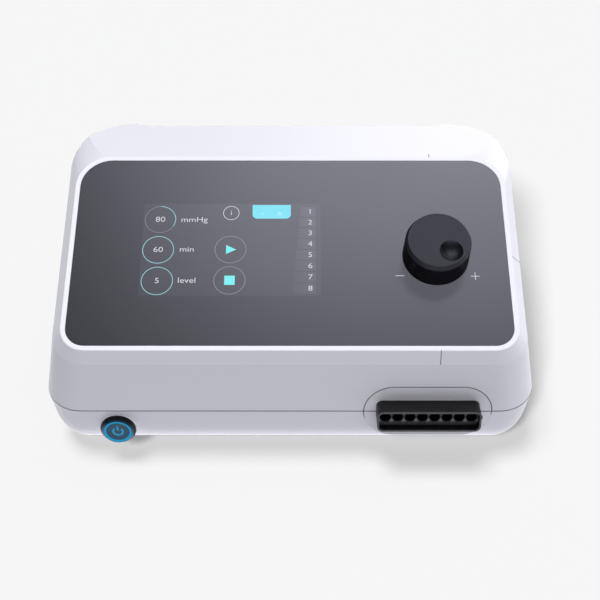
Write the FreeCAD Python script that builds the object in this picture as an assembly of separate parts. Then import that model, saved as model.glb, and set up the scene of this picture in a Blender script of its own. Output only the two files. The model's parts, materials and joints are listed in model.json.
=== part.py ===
import FreeCAD, Part
import math
import os

# Compression therapy pump: a wedge-shaped desktop console.  Millimetres, +Z up, +X to the right seen
# from the front, -Y towards the user.  The origin is on the table under the middle of the console.

V = FreeCAD.Vector

# ---- driving dimensions: outer form ----
PANEL_TILT = 15.0                 # slope of the operating panel, degrees
PANEL_WIDTH = 267.0
PANEL_LENGTH = 132.0              # up the slope
PANEL_CORNERS = (11.95, 19.6)     # front and rear corner radii
PANEL_FRONT_Y = -74.0
PANEL_FRONT_RISE = 43.9           # panel's front edge above the seam
RIM = 3.2                         # flat white border round the panel
CHAMFER_RUN = 5.8
CHAMFER_DROP = 7.6
BELT_REAR_EXTRA = 30.7            # lower chamfer line behind the rear one that would match the front
BELT_CORNERS = (20.2, 40.0)
SEAM_HALF_WIDTH = 150.2           # widest line, where the two shells meet
SEAM_FRONT_Y = -89.0
SEAM_REAR_Y = 101.4
SEAM_CORNERS = (22.8, 46.0)
SEAM_GAP = 0.4
DECK_SLOPE = 4.0                  # rear deck falls to the back, degrees
RIM_EDGE = 0.7                    # rounding between rim and chamfer
BELT_EDGE = 1.6                   # rounding between chamfer, walls and deck
WALL = 2.8
FLOOR_UNDER_PANEL = 2.5

# ---- driving dimensions: lower tub ----
TUB_LEAN = 5.0                    # lean of the upright part of the tub wall, degrees
TUB_UPRIGHT = 17.0                # its height below the seam
TUB_SIDE_RADIUS = 38.0
TUB_EDGE_RADIUS = 8.0
TUB_BREAK = 38.0                  # lean where the tight edge radius takes over
FOOT_STAND = 3.0
LIP_HEIGHT = 2.3
LIP_INSET = 1.8

# ---- driving dimensions: operating parts ----
GLASS = 2.0                       # thickness of the face panel
TAPE = 0.5
DIAL_U = 89.3                     # dial axis across the panel
DIAL_V = 60.7                     # and up its slope
DIAL_HEIGHT = 20.2
DIAL_BASE_RADIUS = 20.4
DIAL_BEVEL = (20.0, 17.0)         # radius and height where the bevel round the top begins
DIAL_TOP_RADIUS = 18.5
DIAL_EDGE = 0.4                   # rounding of the dial's edges
DIAL_GAP = 0.6
DIMPLE_OFFSET = (7.05, -7.6)
DIMPLE_RADIUS = 7.1
DIMPLE_DEPTH = 3.2
SHAFT_RADIUS = 3.0
SHAFT_PLAY = 0.05
DISPLAY_U = -36.4
DISPLAY_V = 66.1
SCREEN = (110.4, 66.0)
MODULE = (120.7, 75.8)
MODULE_DEPTH = 6.0

# ---- driving dimensions: power button ----
BUTTON_X = -106.0
BUTTON_Y = -93.8                  # middle of the button's front plane
BUTTON_DROP = 14.7                # the same point below the seam
BUTTON_TILT = 9.0                 # axis above the horizontal, degrees
BEZEL_RADIUS = 10.95
BEZEL_HEIGHT = 3.2
BEZEL_STEP = 1.0                  # upright part of the bezel's edge, before its bevel
BARREL_RADIUS = 9.4
LIGHT_RING = (7.3, 8.5)
CAP_RADIUS = 7.15
CAP_LENGTH = 7.0
BUTTON_TRAVEL = 2.0               # push of the cap into the bezel
BOSS_RADIUS = 11.2
BOSS_FLARE = (12.6, 10.0)         # radius at a depth behind the bezel, for the mould draft
BOSS_LENGTH = 23.0

# ---- driving dimensions: hose socket ----
SOCKET_X = 83.8
SOCKET_UP = 0.85                  # socket's middle above the seam, along the wall
SOCKET_REACH = 11.3
SHROUD = (62.4, 14.8)
SHROUD_WALL = 1.1
SHROUD_CORNER = 3.6
PORT_COUNT = 8
PORT_PITCH = 7.44
PORT_UP = 0.1                     # row of ports above the seam, along the wall
PORT_RADIUS = 3.4
PORT_DEPTH = 10.0
PORT_FACE = 5.6                   # front of the port block, ahead of the wall
OVAL = (77.5, 36.6)
GROOVE = 0.5
FLANGE = (68.0, 22.0, 2.5)
BARB_RADIUS = 1.9
HOSE_RADIUS = 3.0

# ---- driving dimensions: inside and rear ----
MANIFOLD = (62.0, 34.0, 25.0)
MANIFOLD_BACK = 46.0
MANIFOLD_TOP = 15.0
VALVE = 13.5
PUMP_X = -62.0
PUMP_Y = 18.0
PUMP_Z = 43.0
MOTOR_RADIUS = 26.0
MOTOR_LENGTH = 56.0
HEAD = (26.0, 54.0, 54.0)
INLET_X = 62.0
INLET_UP = 23.0
INLET_CAVITY = (24.6, 17.2, 17.0)
RECESS_HALF_WIDTH = 96.0
RECESS_BLEND = 7.0
RECESS_DEPTH = 3.0
RECESS_LEDGE = 7.0
BOARD_THICKNESS = 1.6
FOOT_RADIUS = 8.0
SCREW_SEAT = 30.0                 # height of the seat at the top of each screw well
SUPPLY_Z = 14.0                   # underside of the supply board
SUPPLY_POSTS = [(x, y) for x in (20.0, 102.0) for y in (27.0, 77.0)]
DISPLAY_BOSSES = [(x, y) for x in (-65.5, 65.5) for y in (-33.0, 33.0)]
BOARD_POSTS = [(x, y) for x in (-58.0, 58.0) for y in (-33.0, 33.0)]
BUSH_RADIUS = 3.5
FEET = [(x, y) for x in (-98.0, 98.0) for y in (-50.0, 60.0)]
COLUMNS = [(-121.0, -50.0), (0.0, -60.0), (121.0, -50.0), (-116.0, 66.0), (0.0, 72.0), (116.0, 72.0)]


# ---- worked-out sizes ----
def sin(degrees):
    return math.sin(math.radians(degrees))


def cos(degrees):
    return math.cos(math.radians(degrees))


TUB_ARC_DEPTH = TUB_SIDE_RADIUS * (sin(TUB_BREAK) - sin(TUB_LEAN))
TUB_DEPTH = TUB_UPRIGHT + TUB_ARC_DEPTH + TUB_EDGE_RADIUS * (1 - sin(TUB_BREAK))
SEAM_Z = FOOT_STAND + TUB_DEPTH
PANEL_FRONT_Z = SEAM_Z + PANEL_FRONT_RISE
POCKET = GLASS + TAPE
MANIFOLD_FRONT = -MANIFOLD_BACK + MANIFOLD[2]
BARB_TIP = -15.0
CEILING = POCKET + FLOOR_UNDER_PANEL

PANEL_FRAME = FreeCAD.Placement(V(0, PANEL_FRONT_Y, PANEL_FRONT_Z), FreeCAD.Rotation(V(1, 0, 0), PANEL_TILT))
BELT_FRONT = PANEL_FRAME.multVec(V(0, -RIM - CHAMFER_RUN, -CHAMFER_DROP))
BELT_REAR_V = PANEL_LENGTH + RIM + CHAMFER_RUN + BELT_REAR_EXTRA
BELT_REAR = PANEL_FRAME.multVec(V(0, BELT_REAR_V, -CHAMFER_DROP))
FRONT_DRAFT = math.degrees(math.atan2(BELT_FRONT.y - SEAM_FRONT_Y, BELT_FRONT.z - SEAM_Z))
REAR_DRAFT = math.degrees(math.atan2(SEAM_REAR_Y - BELT_REAR.y, BELT_REAR.z - SEAM_Z))
SOCKET_TURN = FreeCAD.Rotation(V(1, 0, 0), 90 - FRONT_DRAFT)
SOCKET_FRAME = FreeCAD.Placement(V(SOCKET_X, SEAM_FRONT_Y, SEAM_Z), SOCKET_TURN)
REAR_FRAME = FreeCAD.Placement(
    V(0, SEAM_REAR_Y, SEAM_Z),
    FreeCAD.Rotation(V(-1, 0, 0), V(0, -sin(REAR_DRAFT), cos(REAR_DRAFT)),
                     V(0, cos(REAR_DRAFT), sin(REAR_DRAFT)), "ZXY"),
)
BUTTON_TURN = FreeCAD.Rotation(V(1, 0, 0), 90 - BUTTON_TILT)
BUTTON_FRAME = FreeCAD.Placement(V(BUTTON_X, BUTTON_Y, SEAM_Z - BUTTON_DROP), BUTTON_TURN)
DIAL_FRAME = PANEL_FRAME.multiply(FreeCAD.Placement(V(DIAL_U, DIAL_V, 0), FreeCAD.Rotation()))
DECK_EDGE = PANEL_FRAME.multVec(V(0, PANEL_LENGTH + RIM, 0))
DECK_FRAME = FreeCAD.Placement(DECK_EDGE, FreeCAD.Rotation(V(1, 0, 0), -DECK_SLOPE))


# ---- small helpers ----
def placed(shape, frame):
    return shape.transformed(frame.toMatrix(), True)


def block(x, y, z):
    return Part.makeBox(x[1] - x[0], y[1] - y[0], z[1] - z[0], V(x[0], y[0], z[0]))


def rod(radius, low, high, x=0.0, y=0.0):
    return Part.makeCylinder(radius, high - low, V(x, y, low))


def tube(outer, inner, low, high, x=0.0, y=0.0):
    return rod(outer, low, high, x, y).cut(rod(inner, low, high, x, y))


def joined(shapes):
    shapes = list(shapes)
    if len(shapes) == 1:
        return shapes[0]
    return shapes[0].fuse(shapes[1:]).removeSplitter()


def without(shape, tools):
    return shape.cut(list(tools))


def group(shapes):
    return Part.makeCompound(list(shapes))


def rounded_outline(half_width, front, rear, corners):
    """Closed outline in the XY plane: rectangle with its own front and rear corner radii."""
    near, far = corners
    diagonal = 1 - math.sqrt(0.5)
    w = half_width

    def corner(a, middle, b):
        return Part.Arc(V(*a), V(*middle), V(*b)).toShape()

    def side(a, b):
        return Part.makeLine(V(*a), V(*b))

    edges = [
        side((-w + near, front), (w - near, front)),
        corner((w - near, front), (w - near * diagonal, front + near * diagonal), (w, front + near)),
        side((w, front + near), (w, rear - far)),
        corner((w, rear - far), (w - far * diagonal, rear - far * diagonal), (w - far, rear)),
        side((w - far, rear), (-w + far, rear)),
        corner((-w + far, rear), (-w + far * diagonal, rear - far * diagonal), (-w, rear - far)),
        side((-w, rear - far), (-w, front + near)),
        corner((-w, front + near), (-w + near * diagonal, front + near * diagonal), (-w + near, front)),
    ]
    return Part.Wire(edges)


def centred_outline(width, height, radius):
    return rounded_outline(width / 2, -height / 2, height / 2, (radius, radius))


def slab(outline, low, high):
    face = Part.Face(outline)
    face.translate(V(0, 0, low))
    return face.extrude(V(0, 0, high - low))


def prism(points, direction):
    corners = [V(*p) for p in points]
    return Part.Face(Part.makePolygon(corners + corners[:1])).extrude(V(*direction))


def hexagon(across_flats, bore, low, high):
    radius = across_flats / (2 * cos(30))
    points = [(radius * cos(60 * i), radius * sin(60 * i), low) for i in range(6)]
    return prism(points, (0, 0, high - low)).cut(rod(bore, low, high))


def turned(points):
    """Solid of revolution about Z from (radius, height) points."""
    corners = [V(r, 0, z) for r, z in points]
    face = Part.Face(Part.makePolygon(corners + corners[:1]))
    return face.revolve(V(0, 0, 0), V(0, 0, 1), 360)


def pipe(points, radius, bore, bend):
    """Tube of straight runs joined by tangent arcs, along hand-placed points."""
    points = [V(*p) for p in points]
    edges = []
    start = points[0]
    for before, at, after in zip(points, points[1:], points[2:]):
        along = (at - before).normalize()
        away = (after - at).normalize()
        half_turn = along.getAngle(away) / 2
        set_back = bend * math.tan(half_turn)
        entry = at - along * set_back
        leave = at + away * set_back
        inward = (away - along).normalize()
        middle = at + inward * (bend / math.cos(half_turn) - bend)
        edges.append(Part.makeLine(start, entry))
        edges.append(Part.Arc(entry, middle, leave).toShape())
        start = leave
    edges.append(Part.makeLine(start, points[-1]))
    path = Part.Wire(edges)

    def sweep(r):
        ring = Part.Wire(Part.makeCircle(r, points[0], points[1] - points[0]))
        return path.makePipeShell([ring], True, False)

    return sweep(radius).cut(sweep(bore)) if bore else sweep(radius)


# ---- outer form shared by the two shells ----
def seam_outline(inset):
    near, far = SEAM_CORNERS
    wire = rounded_outline(SEAM_HALF_WIDTH - inset, SEAM_FRONT_Y + inset, SEAM_REAR_Y - inset,
                           (near - inset, far - inset))
    wire.translate(V(0, 0, SEAM_Z))
    return wire


def slope_outline(inset, rear_inset, level, corners):
    """Outline parallel to the panel, level above (or below) its face, inset from the belt line."""
    half_width = PANEL_WIDTH / 2 + RIM + CHAMFER_RUN - inset
    wire = rounded_outline(half_width, -RIM - CHAMFER_RUN + inset, BELT_REAR_V - rear_inset, corners)
    wire.translate(V(0, 0, level))
    return placed(wire, PANEL_FRAME)


def under_deck(depth):
    """Everything below the sloping rear deck, or depth under it."""
    half_space = block((-200, 200), (-300, 300), (-300, -depth))
    return placed(half_space, DECK_FRAME)


def rear_recess(grow):
    """Shallow field in the rear wall with soft ends, open at the deck; grow moves its faces inwards."""
    radius = (RECESS_BLEND ** 2 + RECESS_DEPTH ** 2) / (4 * RECESS_DEPTH)
    angle = math.degrees(math.asin(RECESS_BLEND / 2 / radius))
    edge = RECESS_HALF_WIDTH + RECESS_BLEND + grow
    floor = RECESS_HALF_WIDTH + grow
    depth = RECESS_DEPTH + grow
    roof = 20.0

    def upper_arc(side, turn):
        return V(side * (edge - radius * sin(turn)), 0, -grow - radius + radius * cos(turn))

    def lower_arc(side, turn):
        return V(side * (floor + radius * sin(turn)), 0, -depth + radius - radius * cos(turn))

    edges = [Part.makeLine(V(-edge, 0, roof), V(edge, 0, roof))]
    edges.append(Part.makeLine(V(-floor, 0, -depth), V(floor, 0, -depth)))
    for side in (-1, 1):
        edges.append(Part.makeLine(V(side * edge, 0, roof), upper_arc(side, 0)))
        half = angle / 2
        join = upper_arc(side, angle)
        edges.append(Part.Arc(upper_arc(side, 0), upper_arc(side, half), join).toShape())
        edges.append(Part.Arc(join, lower_arc(side, half), lower_arc(side, 0)).toShape())
    face = Part.Face(Part.Wire(Part.__sortEdges__(edges)))
    face.translate(V(0, RECESS_LEDGE - grow, 0))
    return placed(face.extrude(V(0, 120, 0)), REAR_FRAME)


def edges_at(shape, frame, level, front=-300.0):
    """Edges that lie in the plane level above the frame's, behind a front limit."""
    inverse = frame.inverse()

    def on_plane(edge):
        first, last = edge.FirstParameter, edge.LastParameter
        points = [edge.valueAt(first + (last - first) * share) for share in (0.02, 0.5, 0.98)]
        flat = all(abs(inverse.multVec(p).z - level) < 0.02 for p in points)
        return flat and points[1].y > front

    return [edge for edge in shape.Edges if on_plane(edge)]


def upper_form():
    """Outer volume above the seam: drafted walls, chamfer, flat rim and rear deck."""
    near, far = PANEL_CORNERS
    belt = slope_outline(0, 0, -CHAMFER_DROP, BELT_CORNERS)
    rim_corners = (near + RIM, far + RIM)
    rim = rounded_outline(PANEL_WIDTH / 2 + RIM, -RIM, PANEL_LENGTH + RIM, rim_corners)
    rim = placed(rim, PANEL_FRAME)
    walls = Part.makeLoft([seam_outline(0), belt], True, True)
    crown = Part.makeLoft([belt, rim], True, True)
    form = walls.fuse(crown).common(under_deck(0))
    form = form.makeFillet(RIM_EDGE, edges_at(form, PANEL_FRAME, 0))
    deck_rear = edges_at(form, DECK_FRAME, 0, PANEL_FRAME.multVec(V(0, PANEL_LENGTH + 20, 0)).y)
    form = form.makeFillet(BELT_EDGE, edges_at(form, PANEL_FRAME, -CHAMFER_DROP) + deck_rear)
    return form.cut(rear_recess(0))


def upper_cavity():
    """Room inside the upper shell, one wall thickness in."""
    slope = math.hypot(CHAMFER_RUN, CHAMFER_DROP)
    chamfer_in = CHAMFER_RUN * (CHAMFER_DROP - CEILING) / CHAMFER_DROP + WALL * slope / CHAMFER_DROP
    near, far = BELT_CORNERS
    ceiling = slope_outline(chamfer_in, WALL, -CEILING, (near - chamfer_in, far - WALL))
    room = Part.makeLoft([seam_outline(WALL), ceiling], True, True)
    return room.common(under_deck(WALL)).cut(rear_recess(WALL))


def tub_profile(skin):
    """Tub wall from seam to floor as (inset, height) points; skin moves it inwards."""
    side = TUB_SIDE_RADIUS - skin
    edge = TUB_EDGE_RADIUS - skin
    side_centre = (TUB_UPRIGHT * sin(TUB_LEAN) / cos(TUB_LEAN) + TUB_SIDE_RADIUS * cos(TUB_LEAN),
                   SEAM_Z - TUB_UPRIGHT + TUB_SIDE_RADIUS * sin(TUB_LEAN))
    edge_centre = (side_centre[0] - (TUB_SIDE_RADIUS - TUB_EDGE_RADIUS) * cos(TUB_BREAK),
                   side_centre[1] - (TUB_SIDE_RADIUS - TUB_EDGE_RADIUS) * sin(TUB_BREAK))

    def on(centre, radius, angle):
        return (centre[0] - radius * cos(angle), centre[1] - radius * sin(angle))

    top = (skin / cos(TUB_LEAN), SEAM_Z)
    bend = on(side_centre, side, TUB_LEAN)
    middle = on(side_centre, side, (TUB_LEAN + TUB_BREAK) / 2)
    join = on(side_centre, side, TUB_BREAK)
    turn = on(edge_centre, edge, (TUB_BREAK + 90) / 2)
    floor = on(edge_centre, edge, 90)
    return top, bend, middle, join, turn, floor


def tub_form(skin):
    """Solid volume below the seam: straight walls extruded, corners turned about their own axes."""
    top, bend, middle, join, turn, floor = tub_profile(skin)

    def section(place, reach):
        """Face between the wall and a line reach inwards; place maps (inset, z) to a point."""
        arcs = [Part.Arc(place(*bend), place(*middle), place(*join)).toShape(),
                Part.Arc(place(*join), place(*turn), place(*floor)).toShape()]
        path = [place(*floor), place(reach, floor[1]), place(reach, SEAM_Z), place(*top), place(*bend)]
        lines = [Part.makeLine(a, b) for a, b in zip(path, path[1:])]
        return Part.Face(Part.Wire(arcs + lines))

    near, far = SEAM_CORNERS
    width, front, rear = SEAM_HALF_WIDTH, SEAM_FRONT_Y, SEAM_REAR_Y
    core = 60.0
    pieces = [block((-width + core, width - core), (front + core, rear - core), (floor[1], SEAM_Z))]
    strip = section(lambda s, z: V(-width + near, front + s, z), core)
    pieces.append(strip.extrude(V(2 * (width - near), 0, 0)))
    strip = section(lambda s, z: V(-width + far, rear - s, z), core)
    pieces.append(strip.extrude(V(2 * (width - far), 0, 0)))
    for side in (-1, 1):
        strip = section(lambda s, z: V(side * (width - s), front + near, z), core)
        pieces.append(strip.extrude(V(0, rear - far - front - near, 0)))
        for radius, centre_y, start in ((near, front + near, -90), (far, rear - far, 0)):
            axis = V(side * (width - radius), centre_y, 0)
            wedge = section(lambda s, z: V(axis.x + side * (radius - s), centre_y, z), radius)
            turn_by = side * (start if start else 90)
            pieces.append(wedge.revolve(axis, V(0, 0, 1), turn_by))
    return joined(pieces)


def oval_slab(grow, low, high):
    """Upright slab with round ends, centred on the socket's place on the seam."""
    width, height = OVAL[0] + 2 * grow, OVAL[1] + 2 * grow
    return placed(slab(centred_outline(width, height, height / 2 - 0.01), low, high), SOCKET_FRAME)


def socket_hole():
    width, height = SHROUD[0] + 0.4, SHROUD[1] + 0.4
    hole = slab(centred_outline(width, height, SHROUD_CORNER + 0.2), -20, 20)
    hole.translate(V(0, SOCKET_UP, 0))
    return placed(hole, SOCKET_FRAME)


def oval_groove():
    """Fine line round the socket field, cut in both shells."""
    return oval_slab(GROOVE, -GROOVE, 6).cut(oval_slab(0, -GROOVE - 1, 7))


# ---- the two shells ----
def index_grooves():
    """Three hair lines that point at the dial's axis: front chamfer, right chamfer, rear edge."""
    length = math.hypot(CHAMFER_RUN, CHAMFER_DROP)
    outward = V(-CHAMFER_DROP / length, 0, CHAMFER_RUN / length)
    half = GROOVE / 2
    a = V(-RIM, 0, 0) - outward * GROOVE * 0.8
    b = V(-RIM - CHAMFER_RUN, 0, -CHAMFER_DROP) - outward * GROOVE * 0.8
    profile = [a, b, b + outward * 4, a + outward * 4]
    front = prism([(DIAL_U - half, p.x, p.z) for p in profile], (GROOVE, 0, 0))
    right = prism([(PANEL_WIDTH / 2 - p.x, DIAL_V - half, p.z) for p in profile], (0, GROOVE, 0))
    edge = PANEL_LENGTH + RIM
    rear = block((DIAL_U - half, DIAL_U + half), (edge - 0.6, edge + 2.4), (-1.1, 1))
    return [placed(s, PANEL_FRAME) for s in (front, right, rear)]


def make_upper_housing():
    form = upper_form()
    near, far = PANEL_CORNERS
    fit = 0.15
    pocket_outline = rounded_outline(PANEL_WIDTH / 2 + fit, -fit, PANEL_LENGTH + fit, (near + fit, far + fit))
    pocket = placed(slab(pocket_outline, -POCKET, 20), PANEL_FRAME)
    body = form.cut(pocket)
    room = upper_cavity()
    rebate_outline = seam_outline(LIP_INSET - 0.1)
    rebate = Part.Face(rebate_outline).extrude(V(0, 0, LIP_HEIGHT + 0.5))
    gap = block((-200, 200), (-200, 200), (SEAM_Z - 1, SEAM_Z + SEAM_GAP))
    shell = without(body, [room, rebate, gap])
    extras = []
    for x, y in COLUMNS:
        extras.append(rod(4.2, SEAM_Z, 140, x, y).common(body))
    for du, dv in DISPLAY_BOSSES:
        boss = rod(3.4, -POCKET - MODULE_DEPTH, -POCKET - 1, DISPLAY_U + du, DISPLAY_V + dv)
        extras.append(placed(boss, PANEL_FRAME))
    shell = joined([shell] + extras)
    window = placed(slab(centred_outline(MODULE[0] + 0.6, MODULE[1] + 0.6, 1.5), -CEILING - 3, 0),
                    PANEL_FRAME.multiply(FreeCAD.Placement(V(DISPLAY_U, DISPLAY_V, 0), FreeCAD.Rotation())))
    cuts = [window, placed(rod(BUSH_RADIUS + 0.1, -20, 0), DIAL_FRAME)]
    cuts += [rod(1.45, SEAM_Z - 1, SEAM_Z + 13, x, y) for x, y in COLUMNS]
    for du, dv in DISPLAY_BOSSES:
        pilot = rod(1.1, -POCKET - MODULE_DEPTH - 1, -POCKET - 1.2, DISPLAY_U + du, DISPLAY_V + dv)
        cuts.append(placed(pilot, PANEL_FRAME))
    field = oval_slab(-WALL, -30, -WALL)
    cuts += [socket_hole(), oval_groove(), field]
    cuts += index_grooves()
    cuts.append(placed(inlet_hole(), REAR_FRAME))
    cuts += [placed(s, REAR_FRAME) for s in vent_slots()]
    return without(shell, cuts)


def make_lower_housing():
    outer = tub_form(0)
    inner = tub_form(WALL)
    pad = oval_slab(0, -26, 0)
    below_seam = block((-200, 200), (-200, 200), (-50, SEAM_Z))
    flare, reach = BOSS_FLARE
    boss = placed(turned([(0, -BEZEL_HEIGHT), (BOSS_RADIUS, -BEZEL_HEIGHT), (flare, -BEZEL_HEIGHT - reach),
                          (BOSS_RADIUS, -BOSS_LENGTH), (0, -BOSS_LENGTH)]), BUTTON_FRAME)
    columns = joined([rod(5.6, 0, SEAM_Z, x, y) for x, y in COLUMNS])
    posts = joined([rod(3.6, 0, SUPPLY_Z, x, y) for x, y in SUPPLY_POSTS])
    pillars = manifold_pillars()
    filled = outer.fuse([pad.common(below_seam)])
    room = inner.cut([columns, posts, pillars])
    hollow = filled.cut([room]).fuse([boss])
    lip_inset = tub_profile(WALL)[0][0]
    lip = Part.Face(seam_outline(LIP_INSET)).extrude(V(0, 0, LIP_HEIGHT))
    lip = lip.cut(Part.Face(seam_outline(lip_inset)).extrude(V(0, 0, LIP_HEIGHT)))
    shell = hollow.fuse([lip])
    cuts = [socket_hole(), oval_groove(), oval_slab(-WALL, -30, -WALL)]
    cuts.append(placed(rod(BARREL_RADIUS + 0.1, -40, 10), BUTTON_FRAME))
    for x, y in COLUMNS:
        cuts.append(rod(4.0, -1, SCREW_SEAT, x, y))
        cuts.append(rod(2.0, SCREW_SEAT - 1, SEAM_Z + 1, x, y))
    cuts += [rod(1.2, FOOT_STAND + 1.5, SUPPLY_Z + 1, x, y) for x, y in SUPPLY_POSTS]
    cuts += [rod(FOOT_RADIUS + 0.2, 0, FOOT_STAND + 1.0, x, y) for x, y in FEET]
    cuts += floor_slots()
    cuts += [placed(s, SOCKET_FRAME) for s in manifold_screw_rods(1.2)]
    return without(shell, cuts)


def vent_slots():
    slots = []
    for i in range(9):
        x = 34.0 + 6.6 * i
        slot = slab(centred_outline(2.8, 30, 1.39), -20, 5)
        slot.translate(V(x, 27, 0))
        slots.append(slot)
    return slots


def floor_slots():
    slots = []
    for i in range(8):
        slot = slab(centred_outline(2.8, 34, 1.39), -1, FOOT_STAND + WALL + 1)
        slot.translate(V(PUMP_X - 24.5 + 7 * i, PUMP_Y, 0))
        slots.append(slot)
    return slots


def inlet_hole():
    hole = slab(centred_outline(27.2, 20.2, 1.5), -20, 5)
    hole.translate(V(-INLET_X, INLET_UP, 0))
    return hole


def manifold_screw_rods(radius):
    """Two long screws through the manifold, across the socket's axis."""
    rods = []
    for x in (-27.0, 27.0):
        top = V(x, MANIFOLD_TOP, -MANIFOLD_BACK + 20)
        rods.append(Part.makeCylinder(radius, MANIFOLD[1] + 8, top, V(0, -1, 0)))
    return rods


def manifold_pillars():
    """Two pillars on the floor that carry the manifold at the socket's tilt."""
    low = MANIFOLD_TOP - MANIFOLD[1]
    over = placed(block((-60, 60), (low, low + 80), (-90, 20)), SOCKET_FRAME)
    pillars = []
    for x in (-27.0, 27.0):
        foot = SOCKET_FRAME.multVec(V(x, low, -MANIFOLD_BACK + 20))
        pillars.append(rod(4.5, FOOT_STAND, 40, foot.x, foot.y))
    return joined(pillars).cut(over)


# ---- operating panel ----
def make_face_panel():
    outline = rounded_outline(PANEL_WIDTH / 2, 0, PANEL_LENGTH, PANEL_CORNERS)
    body = placed(slab(outline, -GLASS, 0), PANEL_FRAME)
    return body.cut(placed(rod(8.0, -5, 5), DIAL_FRAME))


def make_panel_adhesive():
    near, far = PANEL_CORNERS

    def layer(inset):
        corners = (near - inset, far - inset)
        outline = rounded_outline(PANEL_WIDTH / 2 - inset, inset, PANEL_LENGTH - inset, corners)
        return slab(outline, -POCKET, -GLASS)

    return placed(layer(1).cut(layer(9)), PANEL_FRAME)


def in_display(shape):
    shape.translate(V(DISPLAY_U, DISPLAY_V, 0))
    return placed(shape, PANEL_FRAME)


def make_display_gasket():
    outer = slab(centred_outline(MODULE[0] - 0.6, MODULE[1] - 0.6, 1), -POCKET, -GLASS)
    inner = slab(centred_outline(SCREEN[0] + 1, SCREEN[1] + 1, 1), -POCKET, -GLASS)
    return in_display(outer.cut(inner))


def make_display_frame():
    tray = slab(centred_outline(MODULE[0], MODULE[1], 1.2), -POCKET - MODULE_DEPTH, -POCKET)
    seat = slab(centred_outline(SCREEN[0], SCREEN[1], 0.8), -POCKET - 1.2, -POCKET)
    return in_display(tray.cut(seat))


def make_display_screen():
    return in_display(slab(centred_outline(SCREEN[0], SCREEN[1], 0.8), -POCKET - 1.2, -POCKET))


def make_display_bracket():
    """Pressed sheet behind the display, with windows and four spacers for the control board."""
    top = -POCKET - MODULE_DEPTH
    sheet = slab(centred_outline(140, 78, 6), top - 0.8, top)
    windows = []
    for x in (-27.5, 27.5):
        window = slab(centred_outline(45, 50, 4), top - 2, top + 1)
        window.translate(V(x, 0, 0))
        windows.append(window)
    holes = [rod(1.6, top - 2, top + 1, x, y) for x, y in DISPLAY_BOSSES]
    spacers = [tube(3.0, 1.2, top - 5.5, top - 0.8, x, y) for x, y in BOARD_POSTS]
    return in_display(joined([without(sheet, windows + holes)] + spacers))


def make_display_ribbon():
    """Flat cable folded once, from the back of the display to the control board."""
    top = -POCKET - MODULE_DEPTH
    low = top - 5.5
    outer = (top - low) / 2
    middle = (top + low) / 2
    leg = 13.0

    def loop(radius):
        upper = V(0, 0, middle + radius)
        lower = V(0, 0, middle - radius)
        far_upper = V(0, leg, middle + radius)
        far_lower = V(0, leg, middle - radius)
        arc = Part.Arc(upper, V(0, -radius, middle), lower).toShape()
        lines = [Part.makeLine(*pair) for pair in ((lower, far_lower), (far_lower, far_upper))]
        return Part.Face(Part.Wire([Part.makeLine(far_upper, upper), arc] + lines))

    strip = loop(outer).cut(loop(outer - 0.3)).extrude(V(22, 0, 0))
    strip.translate(V(16, -2, 0))
    return in_display(strip)


def make_control_board():
    top = -POCKET - MODULE_DEPTH - 5.5
    board = slab(centred_outline(126, 76, 2), top - BOARD_THICKNESS, top)
    return in_display(without(board, [rod(1.6, top - 5, top + 1, x, y) for x, y in BOARD_POSTS]))


def make_control_board_parts():
    """Chips, sockets, capacitors and sounder on the underside of the control board."""
    top = -POCKET - MODULE_DEPTH - 5.5 - BOARD_THICKNESS
    parts = [block((-8, 8), (-8, 8), (top - 1.4, top)), block((20, 30), (4, 12), (top - 1.2, top))]
    parts += [block((-52 + 16 * i, -40 + 16 * i), (-33, -26), (top - 6, top)) for i in range(4)]
    parts += [rod(4.0, top - 8, top, 44, y) for y in (-20, -8)]
    parts.append(rod(6.0, top - 5, top, -42, 18))
    parts += [block((-30, -22), (12 + 7 * i, 17 + 7 * i), (top - 1.6, top)) for i in range(3)]
    parts.append(block((14, 44), (24, 31), (top - 5, top)))
    return in_display(group(parts))


def screw(shank, length, head, head_height, point):
    """Pan-head screw along Z: head below z = 0, shank above; point is the length of its tip."""
    shoulder = -head_height * 0.45
    outline = [(0, -head_height), (head * 0.75, -head_height), (head, shoulder), (head, 0),
               (shank, 0), (shank, length - point), (0, length)]
    return turned(outline)


def screws_at(places, low, shape):
    copies = []
    for x, y in places:
        one = shape.copy()
        one.translate(V(x, y, low))
        copies.append(one)
    return group(copies)


def make_bracket_screws():
    low = -POCKET - MODULE_DEPTH - 0.8
    return in_display(screws_at(DISPLAY_BOSSES, low, screw(1.05, 5.0, 2.4, 1.4, 1.0)))


def make_board_screws():
    low = -POCKET - MODULE_DEPTH - 5.5 - BOARD_THICKNESS
    return in_display(screws_at(BOARD_POSTS, low, screw(1.15, 6.0, 2.4, 1.4, 1.0)))


# ---- dial ----
def make_control_dial():
    """Turned knob: slightly tapering side, bevelled top, finger dimple, hollow underside with a hub."""
    top = DIAL_HEIGHT
    hub = 6.0
    bore = SHAFT_RADIUS + 0.05
    mouth = DIAL_GAP + 4
    roof = 11.0
    profile = [(bore, mouth), (hub, mouth), (hub, roof), (17.5, roof), (17.5, DIAL_GAP)]
    profile += [(DIAL_BASE_RADIUS, DIAL_GAP), DIAL_BEVEL, (DIAL_TOP_RADIUS, top), (0, top)]
    profile += [(0, 14.0), (bore, 14.0)]
    body = turned(profile)
    outline = [edge for edge in body.Edges if edge.BoundBox.ZLength < 0.01 and edge.BoundBox.ZMax > 15
               and edge.BoundBox.XLength > 30]
    body = body.makeFillet(DIAL_EDGE, outline)
    ball_radius = (DIMPLE_RADIUS ** 2 + DIMPLE_DEPTH ** 2) / (2 * DIMPLE_DEPTH)
    ball_centre = V(*DIMPLE_OFFSET, top - DIMPLE_DEPTH + ball_radius)
    return placed(body.cut(Part.makeSphere(ball_radius, ball_centre)), DIAL_FRAME)


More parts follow.
